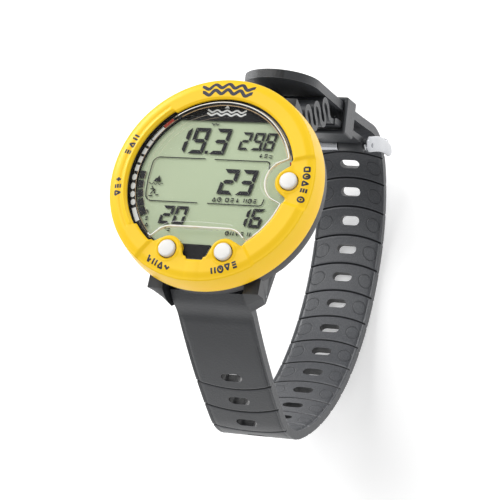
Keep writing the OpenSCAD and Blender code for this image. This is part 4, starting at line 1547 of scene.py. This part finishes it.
@dataclass(frozen=True)
class StrapRoute:
    """The long strap's middle line in the YZ plane, as arcs laid end to end from the lower pin.

    Each of the arcs is a length in millimetres and its whole turn in degrees. The start is Y, Z and the
    heading.
    """

    pitch: float = 12.75
    width: float = 30.0
    thick: float = 3.4
    start: tuple[float, float, float] = (-36.9, 2.7, -34.0)
    arcs: tuple[tuple[float, float], ...] = ((61, 12.5), (19.7, 45.4), (123, 74.1), (33.9, 32.2),
                                             (27.7, 62.9),
                                             (83, -4.5))
    pin: tuple[float, float] = (64.0, -82.3)

    def length(self) -> float:
        """Whole length of the long strap."""
        return sum(a[0] for a in self.arcs)

    def at(self, s: Array) -> tuple[Array, Array, Array]:
        """Y, Z and heading at distances along the strap, from the integral of each arc's even turn.

        Args:
            s: distances along the strap, in millimetres.

        Returns:
            Y, Z and heading at each distance.
        """
        step = 0.05
        grid = np.arange(-12.0, self.length() + step, step)
        ends = np.cumsum([a[0] for a in self.arcs])
        which = np.clip(np.searchsorted(ends, grid, side="left"), 0, len(self.arcs) - 1)
        bend = np.array([math.radians(t) / l for l, t in self.arcs])[which]
        heading = math.radians(self.start[2]) + np.concatenate([[0], np.cumsum(bend[:-1] * step)])
        zero = int(round(12.0 / step))
        heading = heading - heading[zero] + math.radians(self.start[2])
        dy, dz = np.sin(heading) * step, -np.cos(heading) * step
        y = np.concatenate([[0], np.cumsum((dy[:-1] + dy[1:]) / 2)])
        z = np.concatenate([[0], np.cumsum((dz[:-1] + dz[1:]) / 2)])
        y, z = y - y[zero] + self.start[0], z - z[zero] + self.start[1]
        return np.interp(s, grid, y), np.interp(s, grid, z), np.interp(s, grid, heading)

    def held(self) -> float:
        """Distance at which the prong passes: the point of the route nearest the buckle pin.

        Returns:
            The distance in millimetres.
        """
        s = np.arange(255.0, 285.0, 0.05)
        y, z, _ = self.at(s)
        return float(s[np.argmin(np.hypot(y - self.pin[0], z - self.pin[1]))])

    def slot(self) -> float:
        """Distance of the slot that the prong holds: half a pitch below the pin."""
        return self.held() - self.pitch / 2


ROUTE = StrapRoute()


@dataclass
class Strap:
    """The rubber strap: the long slotted band, the folded short band with its eyes, and the keeper."""

    route: StrapRoute = ROUTE
    slot_long: float = 8.7
    slot_high: float = 4.0
    tip: float = 15.0
    sag: float = 3.0
    below: int = 18
    above: int = 2
    groove_deep: float = 0.65
    groove_wide: float = 0.36
    short_half: float = 1.3
    lug_pin: tuple[float, float] = (34.5, 2.0)
    eye_r: float = 3.4
    eye_bore: float = 1.15

    def stations(self) -> Array:
        """Distances along the strap: close together at slots and grooves, closing in on the rounded tip.

        Returns:
            The distances, in rising order.
        """
        held, pitch = self.route.slot(), self.route.pitch
        total = self.route.length()
        half = self.slot_high / 2
        offsets = np.array([-half, -half * 0.86, -half * 0.5, 0, half * 0.5, half * 0.86, half])
        beside = np.array([0.15, 0.35, 0.6, 0.9, 1.4, 2.2])
        groove = np.concatenate([-beside[::-1], [0], beside])
        marks = [np.linspace(-5.0, 0.0, 5)]
        first = held - self.below * pitch
        marks.append(np.arange(1.2, first - 3.0, 1.6))
        for k in range(-self.below, self.above + 1):
            s = held + k * pitch
            marks.append(s + offsets)
            marks.append(s + np.array([-3.0, 3.0]))
            marks.append(s + pitch / 2 + groove)
        marks.append(np.arange(held + 2.8 * pitch, total - self.tip, 1.6))
        q = np.linspace(0, np.pi / 2, 18)
        marks.append(total - self.tip + self.tip * np.sin(q) * 0.9995)
        return np.unique(np.round(np.concatenate(marks), 4))

    def holes(self, s: Array) -> tuple[Array, Array]:
        """For each distance, how far it is from the nearest slot, and whether it lies in a slot's stretch.

        Args:
            s: distances along the strap, in millimetres.

        Returns:
            The distance to the nearest slot's middle, and the flags.
        """
        held, pitch = self.route.slot(), self.route.pitch
        k = np.clip(np.round((s - held) / pitch), -self.below, self.above)
        d = s - held - k * pitch
        return d, np.abs(d) <= self.slot_high / 2 + 1e-3

    def build_long(self) -> bpy.types.Object:
        """The long band as two faces over one grid of distance and width, joined at the sides, ends and
        slots.

        Across, x is warped near each slot so that the cells' edges follow a slot with round ends: at a
        distance d from its middle the slot's half width is b - a + sqrt(a^2 - d^2). Grooves dip both faces
        midway between slots.

        Returns:
            The long band.
        """
        r = self.route
        s = self.stations()
        held, pitch, total = r.slot(), r.pitch, r.length()
        b, a = self.slot_long / 2, self.slot_high / 2
        xs = np.concatenate([[0, 0.25, 0.5, 0.75, 1.0],
                             [1.35, 1.75, 2.2, 2.6, 2.9, 3.12, 3.18, 3.24, 3.3, r.width / 2 / b]])
        xs = np.concatenate([-xs[:0:-1], xs]) * b
        d, inside = self.holes(s)
        dd = np.abs(d)
        k = np.where(dd <= a + 1e-3, (b - a + np.sqrt(np.maximum(a * a - dd * dd, 0))) / b,
                     1 - a / b * (1 - smooth(dd, a, a + 2.0)))
        near = (s > held - (self.below + 1) * pitch) & (s < held + 2.6 * pitch)
        k = np.where(near, k, 1.0)[:, None]
        ax = np.abs(xs)[None]
        reach = 10.5
        beside = reach - (reach - ax) * (reach - k * b) / (reach - b)
        warped = np.where(ax <= b, ax * k, np.where(ax < reach, beside, ax))
        rounded = np.sqrt(np.maximum(self.tip ** 2 - (s - total + self.tip) ** 2, 1e-4))
        half = np.where(s > total - self.tip, rounded, self.tip)[:, None] / self.tip
        x = np.sign(xs)[None] * warped * half
        slotted = (1 - smooth(dd, 2.2, 4.6))[:, None] * (1 - smooth(np.abs(x), 4.6, 8.0)) * near[:, None]
        free = (smooth(s, 16.0, 34.0) * (1 - smooth(s, held + 1.5 * pitch, held + 2.5 * pitch)))[:, None]
        y, z, h = r.at(s[:, None] - self.sag * (x / 15) ** 2 * free * (1 - slotted))
        g = (s - held) / pitch
        gap = (g - np.floor(g) - 0.5) * pitch
        on = (s > held - 18.1 * pitch) & (s < held - 1.0 * pitch)
        groove = (np.exp(-(gap / self.groove_wide) ** 2) * on)[:, None] * np.ones_like(x)
        rim = np.exp(-((np.abs(x) - 13.8) / 0.22) ** 2) * (s > 20)[:, None] * (s < total - 22)[:, None]
        front = 1 - smooth(s, held - 17.56 * pitch, held - 17.5 * pitch)[:, None]
        panel = 0.28 * front * (1 - smooth(np.abs(x), 13.5, 13.9))
        swell = 1.5 * (1 - smooth(s, -1.0, 7.0))[:, None]
        line = np.maximum(rim - groove, 0)
        up = r.thick / 2 - self.groove_deep * groove - 0.25 * line + panel * (s[:, None] > 9) + swell
        low = -r.thick / 2 + self.groove_deep * groove + 0.28 * line
        top = np.stack([x, y - np.cos(h) * up, z - np.sin(h) * up], -1)
        bottom = np.stack([x, y - np.cos(h) * low, z - np.sin(h) * low], -1)
        rows, cols = x.shape
        cells = (inside[:-1] & inside[1:] & (np.abs(s[1:] - s[:-1]) < 2.0))[:, None]
        mid = ((np.abs(xs[:-1]) <= b + 1e-6) & (np.abs(xs[1:]) <= b + 1e-6))[None]
        gone = cells & mid
        faces = grid_faces(rows, cols).reshape(rows - 1, cols - 1, 4)
        kept = faces[~gone]
        shift = rows * cols
        quads = [kept, kept[:, ::-1] + shift]
        pad = np.pad(gone, 1, constant_values=True)
        for axis in (0, 1):
            here = pad[1:, 1:-1] if axis == 0 else pad[1:-1, 1:]
            back = pad[:-1, 1:-1] if axis == 0 else pad[1:-1, :-1]
            i, j = np.nonzero(here != back)
            p = i * cols + j
            q = i * cols + j + 1 if axis == 0 else (i + 1) * cols + j
            wall = np.stack([p, q, q + shift, p + shift], -1)
            flip = (here[i, j] if axis == 0 else back[i, j])
            quads.append(np.where(flip[:, None], wall, wall[:, ::-1]))
        uv = np.stack([np.broadcast_to((s[:, None] - held) / pitch, x.shape), x / 10], -1).reshape(-1, 2)
        points = np.vstack([top.reshape(-1, 3), bottom.reshape(-1, 3)])
        body = Shape(points, np.vstack(quads), 0, np.vstack([uv, uv + [0, 100]]))
        eye = self.eye(-self.lug_pin[0], self.lug_pin[1], self.eye_r, self.eye_bore)
        return piece("strap_long_band", [body] + eye, [strap_material()], "strap_loop", ["strap_long"],
                     "strap_rubber",
                     bevel=0.35, sharp=50)

    def eye(self, y: float, z: float, r: float, bore: float, x0: float = -15.0,
            x1: float = 15.0) -> list[Shape]:
        """A bored tube along X: outer wall, bore and both ends as one ring profile turned about the pin's
        axis.

        Args:
            y: the tube's centre in Y.
            z: the tube's centre in Z.
            r: outer radius.
            bore: radius of the bore.
            x0: first end in X.
            x1: second end in X.

        Returns:
            The tube.
        """
        a = np.linspace(0, 2 * np.pi, 48, endpoint=False)
        prof = [(x0, bore), (x0, r - 0.4), (x0 + 0.4, r), (x1 - 0.4, r), (x1, r - 0.4), (x1, bore)]
        pts = np.array([[(px, y + pr * math.cos(t), z + pr * math.sin(t)) for t in a] for px, pr in prof])
        return [grid_shape(pts, wrap_rows=True, wrap_cols=True, flip=True)]

    def band(self, line: Array, half_t: Array | float, half_w: float) -> Shape:
        """A flat band along a line in the YZ plane: a box section of the given half thickness and half width,
        closed.

        Args:
            line: points of the middle line, in Y and Z.
            half_t: half thickness, one value or one for each point.
            half_w: half width along X.

        Returns:
            The band.
        """
        t = tangents(line)
        n = np.stack([-t[:, 1], t[:, 0]], -1)
        ht = np.broadcast_to(np.asarray(half_t, float), (len(line),))[:, None]
        a, b = line + n * ht, line - n * ht
        corners = ((a, -half_w), (a, 0.0), (a, half_w), (b, half_w), (b, 0.0), (b, -half_w))
        ring = [np.column_stack([np.full(len(line), x), edge]) for edge, x in corners]
        body = grid_shape(np.stack(ring, 1), wrap_cols=True)
        caps = np.array([[0, 1, 4, 5], [1, 2, 3, 4], [0, 5, 4, 1], [1, 4, 3, 2]])
        caps[2:] += (len(line) - 1) * len(ring)
        return Shape(body.points, np.vstack([body.faces, caps[:, ::-1]]), 0)

    def fold_line(self) -> Array:
        """Middle line of the folds: a heading that swings by sine, summed step by step, scaled and sheared to
        its place.

        Returns:
            Points in Y and Z.
        """
        n, swing, shear = 3, math.radians(99.0), -0.35
        f0, f3 = np.array([39.5, -17.9]), np.array([55.7, -41.6])
        u = (f3 - f0) / np.linalg.norm(f3 - f0)
        out = np.array([-u[1], u[0]])
        k = np.arange(240 * n)
        heading = swing * np.sin(2 * np.pi * n * (k + 0.5) / len(k))
        raw = np.vstack([[0, 0], np.cumsum(np.stack([np.cos(heading), np.sin(heading)], -1), 0)])
        raw *= np.linalg.norm(f3 - f0) / raw[-1, 0]
        fold = f0 + np.outer(raw[:, 0] + shear * raw[:, 1], u) + np.outer(raw[:, 1], out)
        start, end = np.array([37.4, -9.4]), np.array([56.4, -43.35])
        line = np.vstack([along([start, f0], 0.3)[:-4], fold[6:-6:5], along([f3, end], 0.3)[4:]])
        for _ in range(4):
            line[1:-1] = (line[:-2] + 2 * line[1:-1] + line[2:]) / 4
        return line

    def build_short(self) -> None:
        """The short strap: eye end on the case, folds on no body between the two ends, and the buckle end on
        the loop.
        """
        rubber = strap_material()
        line = self.fold_line()
        top = along([(35.2, 2.0), (37.0, -7.0), tuple(line[0])], 0.8)
        eye = self.eye(*self.lug_pin, self.eye_r, self.eye_bore)
        piece("short_eye_band", [self.band(top, self.short_half, 15.0)] + eye, [rubber], "case",
              ["short_eye"], "strap_rubber", bevel=0.3, sharp=50)
        fold = self.band(line, np.linspace(1.15, 1.0, len(line)), 14.9)
        folds = piece("short_fold_band", [fold], [rubber], None, bevel=0.3, sharp=50)
        apply_modifier(folds, folds.modifiers[0].name)
        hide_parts("short_bellows")
        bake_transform(folds)
        pin = np.array(self.route.pin)
        run = pin - line[-1]
        way = run / np.linalg.norm(run)
        join = pin - way * 3.2 + np.array([1.3, 0.0])
        end = along([tuple(line[-1]), (57.8, -46.5), tuple(join)], 0.8)
        web_line = along([tuple(join - way * 0.2), tuple(pin - way * 1.4 + np.array([1.2, 0.0]))], 0.4)
        web = self.band(web_line, self.short_half, 5.4)
        tubes = [moved(web, (side * 9.5, 0, 0)) for side in (-1, 1)]
        for x0, x1 in ((-15.0, -4.1), (4.1, 15.0)):
            tubes += self.eye(pin[0], pin[1], 2.75, 1.05, x0, x1)
        piece("short_buckle_band", [self.band(end, self.short_half, 15.0)] + tubes, [rubber], "strap_loop",
              ["short_end"],
              "strap_rubber", bevel=0.3, sharp=50)

    def build_keeper(self) -> bpy.types.Object:
        """The keeper: the CAD sleeve with soft rounded edges."""
        return refined("strap_keeper", strap_material(), 0.7, "strap_rubber", 40)

    def build(self) -> None:
        """Makes every strap piece."""
        self.build_long()
        self.build_short()
        self.build_keeper()


@dataclass
class Buckle:
    """Buckle frame, prong and pins in satin steel."""

    pin: tuple[float, float] = (64.0, -82.3)
    arm_at: float = 17.25
    bar_down: float = 23.4
    rivet_at: float = 18.9

    def bar_centre(self) -> Array:
        """Centre of the cross bar: outside the strap, a little way down from the prong's slot.

        Returns:
            Y and Z of the centre.
        """
        y, z, h = ROUTE.at(np.array([ROUTE.held() - self.bar_down]))
        off = ROUTE.thick / 2 + 1.6 + 0.3
        return np.array([y[0] - off * math.cos(h[0]), z[0] - off * math.sin(h[0])])

    def arm(self, x: float) -> Shape:
        """One arm: a flat rounded section along a curve from past the pin to past the bar, turning down at
        the bar.

        The middle line is a smooth curve through measured points. The half width swells to 3.3 near the pin
        and falls to 2.6, drawn in at both ends as the square root of the distance, so that the ends are
        round.

        Args:
            x: the arm's place in X.

        Returns:
            The arm.
        """
        mid = np.array([(62.3, -77.4), (62.9, -79.0), (64.2, -82.0), (66.2, -85.8), (68.4, -90.4),
                        (70.5, -96.2),
                        (71.9, -101.4), (72.6, -105.6), (72.9, -109.6)])
        knots = np.concatenate([[0], np.cumsum(np.linalg.norm(np.diff(mid, axis=0), axis=1))])
        tt = np.linspace(0, 1, 72)
        mid = np.stack([np.interp(tt * knots[-1], knots, mid[:, i]) for i in (0, 1)], -1)
        for _ in range(12):
            mid[1:-1] = (mid[:-2] + 2 * mid[1:-1] + mid[2:]) / 4
        ends = np.sqrt(np.clip(np.minimum(tt * 10, (1 - tt) * 11), 0.004, 1))
        wide = (3.3 - 0.7 * smooth(tt, 0.35, 0.95)) * ends
        thick = (1.3 - 0.25 * smooth(tt, 0.1, 0.7)) * np.clip(ends, 0.3, 1) ** 0.5
        bow = math.copysign(1.0, x) * (0.45 * np.sin(np.pi * np.clip(tt * 1.15 - 0.1, 0, 1)))
        line = np.column_stack([np.full(72, x) + bow, mid])
        return swept(line, np.array([1.0, 0.0, 0.0]), thick, wide, power=2.6, ring=32)

    def build(self) -> None:
        """Makes the frame from two arms and the bar, then the prong, the pin and its end rivets."""
        y, z = self.bar_centre()
        x = 17.0 * np.sin(np.linspace(-np.pi / 2, np.pi / 2, 60))
        ends = smooth(np.abs(x), 15.3, 17.0)
        bar_line = np.stack([x, y - 2.2 * ends, z - 0.6 * ends], -1)
        bar = swept(bar_line, np.array([0.0, 0.0, 1.0]), 1.5 - 0.3 * ends, 1.5 - 0.3 * ends, ring=24)
        rivets = [self.rivet(s) for s in (-1, 1)]
        arms = [self.arm(side * self.arm_at) for side in (-1, 1)]
        piece("buckle_arms", arms + [bar], [finish_of(Tone.BUCKLE)], "frame", ["buckle_frame"],
              "buckle_steel", sharp=60)
        refined("buckle_prong", finish_of(Tone.BUCKLE), 0.45, "buckle_steel")
        refined("buckle_pin", finish_of(Tone.STEEL), 0.2, "steel")
        piece("pin_rivets", rivets, [finish_of(Tone.BUCKLE)], "strap_loop", slot="buckle_steel", sharp=60,
              weld=0.02)
        rods = [self.rod(side * 34.5, 2.0, 19.6) for side in (-1, 1)]
        piece("lug_rods", rods, [finish_of(Tone.STEEL)], "case", ["strap_pins"], "steel", sharp=60, weld=0.02)

    def rod(self, y: float, z: float, half: float) -> Shape:
        """A strap pin along X with softly rounded ends: a profile turned about its own axis.

        Args:
            y: the pin's centre in Y.
            z: the pin's centre in Z.
            half: half its length.

        Returns:
            The pin.
        """
        s = turned(np.array([(0.02, -half), (0.75, -half), (1.08, -half + 0.35), (1.08, half - 0.35),
                             (0.75, half),
                             (0.02, half)]), 32)
        p = s.points
        return Shape(np.stack([p[:, 2], y + p[:, 0], z + p[:, 1]], -1), s.faces)

    def rivet(self, side: int) -> Shape:
        """A low domed pin end in a shallow ring, turned about X.

        Args:
            side: -1 or 1, the side that it stands on.

        Returns:
            The pin end.
        """
        prof = np.array([(0.02, 0.28), (0.4, 0.24), (0.75, 0.1), (0.9, -0.02), (1.05, -0.1), (1.0, -0.4),
                         (0.02, -0.4)])
        s = turned(prof, 36)
        p = s.points
        pts = np.stack([side * (self.rivet_at + p[:, 2]), self.pin[0] + p[:, 0], self.pin[1] + p[:, 1]], -1)
        return Shape(pts, s.faces)


@dataclass
class Inside:
    """The case and everything it holds: copies of the CAD nodes with rounded edges and their own finishes."""

    plain: tuple[tuple[str, Tone, float, str], ...] = (
        ("case_body", Tone.CASE, 0.3, "case_plastic"),
        ("battery_lid", Tone.CASE, 0.12, "case_plastic"),
        ("lock_ring", Tone.CASE, 0.1, "case_plastic"),
        ("cover_gasket", Tone.SEAL, 0.0, "seal_rubber"),
        ("lid_gasket", Tone.SEAL, 0.0, "seal_rubber"),
        ("sensor_gasket", Tone.SEAL, 0.0, "seal_rubber"),
        ("lcd_holder", Tone.HOLDER, 0.1, "holder_plastic"),
        ("contact_strips", Tone.STRIP, 0.1, "strip_rubber"),
        ("circuit_board", Tone.BOARD, 0.05, "board"),
        ("board_screws", Tone.STEEL, 0.08, "steel"),
        ("button_switches", Tone.STEEL, 0.05, "switch_metal"),
        ("battery_cell", Tone.STEEL, 0.2, "cell_steel"),
        ("battery_pins", Tone.BRASS, 0.08, "contact_brass"),
        ("pressure_sensor", Tone.STEEL, 0.1, "steel"),
        ("water_contacts", Tone.STEEL, 0.1, "steel"),
        ("buzzer", Tone.BRASS, 0.05, "contact_brass"),
    )

    def build(self) -> None:
        """Makes each refined copy in turn."""
        for node, tone, bevel, slot in self.plain:
            made = refined(node, finish_of(tone), bevel, slot)
            if node == "case_body":
                self.slim_lugs(made)

    @staticmethod
    def slim_lugs(obj: bpy.types.Object) -> None:
        """Tapers the lugs: their width falls from 0.98 at the top to 0.56 at the foot, and nose and foot are
        drawn in.

        Args:
            obj: the refined case, whose points are moved.
        """
        co = np.empty(len(obj.data.vertices) * 3, np.float32)
        obj.data.vertices.foreach_get("co", co)
        co = co.reshape(-1, 3) / MM
        x, y, z = np.abs(co[:, 0]), np.abs(co[:, 1]), co[:, 2]
        far = np.hypot(x, y)
        lug = (x > 15.8) & (y > 27.0) & (z < 11.3) & (far > 31.5)
        share = 0.56 + 0.42 * smooth(z, -2.6, 9.0)
        co[:, 0] = np.where(lug, np.sign(co[:, 0]) * (15.7 + (x - 15.7) * share), co[:, 0])
        reach = 34.5 + (y - 34.5) * 0.5
        co[:, 1] = np.where(lug & (y > 34.5), np.sign(co[:, 1]) * reach, co[:, 1])
        co[:, 2] = np.where(lug & (z < -0.05), z * 0.45, z)
        obj.data.vertices.foreach_set("co", (co * MM).astype(np.float32).ravel())
        obj.data.update()


# ---------------------------------------------------------------- studio


@dataclass
class Studio:
    """Camera, lights and the pale floor."""

    target: tuple[float, float, float] = (20.67, -26.62, 27.34)
    azimuth: float = -41.47
    elevation: float = 60.37
    distance: float = 699.1
    roll: float = 41.02
    lens: float = 144.0
    sky: float = 0.55
    floor_half: float = 3.0
    floor_gap: float = 0.0005
    floor_glow: float = 0.34

    def camera(self) -> None:
        """Aims a long lens at a point on the dial's plane, then rolls it about its own axis."""
        data = bpy.data.cameras.new("view")
        data.lens, data.sensor_width, data.clip_end = self.lens, 36.0, 10.0
        obj = bpy.data.objects.new("view", data)
        bpy.context.scene.collection.objects.link(obj)
        az, el = math.radians(self.azimuth), math.radians(self.elevation)
        back = Vector((math.cos(el) * math.cos(az), math.cos(el) * math.sin(az), math.sin(el)))
        place = (Vector(self.target) + back * self.distance) * MM
        turn = (-back).to_track_quat("-Z", "Y").to_matrix().to_4x4()
        rolled = Matrix.Rotation(-math.radians(self.roll), 4, "Z")
        obj.matrix_world = Matrix.Translation(place) @ turn @ rolled
        bpy.context.scene.camera = obj

    def light(self, name: str, place: Sequence[float], size: float, power: float) -> None:
        """A square soft light at a place in metres, aimed at the object.

        Args:
            name: the light's name.
            place: where it stands, in metres.
            size: the side of its square, in metres.
            power: its power in watts.
        """
        data = bpy.data.lights.new(name, "AREA")
        data.size, data.energy = size, power
        obj = bpy.data.objects.new(name, data)
        bpy.context.scene.collection.objects.link(obj)
        aim = Vector((0.0, 0.0, -0.02)) - Vector(place)
        turn = aim.to_track_quat("-Z", "Y").to_matrix().to_4x4()
        obj.matrix_world = Matrix.Translation(Vector(place)) @ turn

    def floor(self) -> None:
        """A wide pale sheet under the strap."""
        low = CAD_BOX[0][2] - self.floor_gap
        a = np.linspace(-self.floor_half, self.floor_half, 9)
        gx, gy = np.meshgrid(a, a, indexing="ij")
        pts = np.stack([gx, gy, np.full_like(gx, low)], -1) / MM
        ink = Ink("floor_pale")
        cloud = ink.noise(ink.where()[0], 3)
        material = ink.finish(Base_Color=ink.mix(cloud, (0.94, 0.94, 0.94), (0.96, 0.96, 0.96)),
                              Roughness=0.9,
                              Emission_Color=(1.0, 1.0, 1.0), Emission_Strength=self.floor_glow)
        piece("floor", [grid_shape(pts)], [material], None)

    def build(self) -> None:
        """Camera first, then lights and floor."""
        self.camera()
        world = bpy.data.worlds.new("studio")
        world.use_nodes = True
        colour, strength = world.node_tree.nodes["Background"].inputs[:2]
        colour.default_value, strength.default_value = (1.0, 1.0, 1.0, 1.0), self.sky
        bpy.context.scene.world = world
        bpy.context.scene.view_settings.view_transform = "Standard"
        for lamp in (("key", (-0.45, 0.35, 0.95), 0.9, 6.0), ("side", (-0.80, 0.55, 0.15), 0.6, 6.0),
                     ("fill", (0.7, -0.7, 0.5), 0.8, 1.2), ("rim", (0.6, 0.9, 0.15), 0.4, 2.0)):
            self.light(*lamp)
        self.floor()


def main() -> None:
    """Builds the studio and every sub-assembly in order."""
    logging.basicConfig(level=logging.INFO, format="%(name)s %(message)s")
    Studio().build()
    boot = Boot()
    boot.build()
    boot.signs()
    Inside().build()
    cover = Cover()
    cover.build()
    cover.glints()
    display = Display()
    display.glass()
    display.mask()
    display.segments()
    Buttons().build()
    Strap().build()
    Buckle().build()


if __name__ == "__main__":
    main()
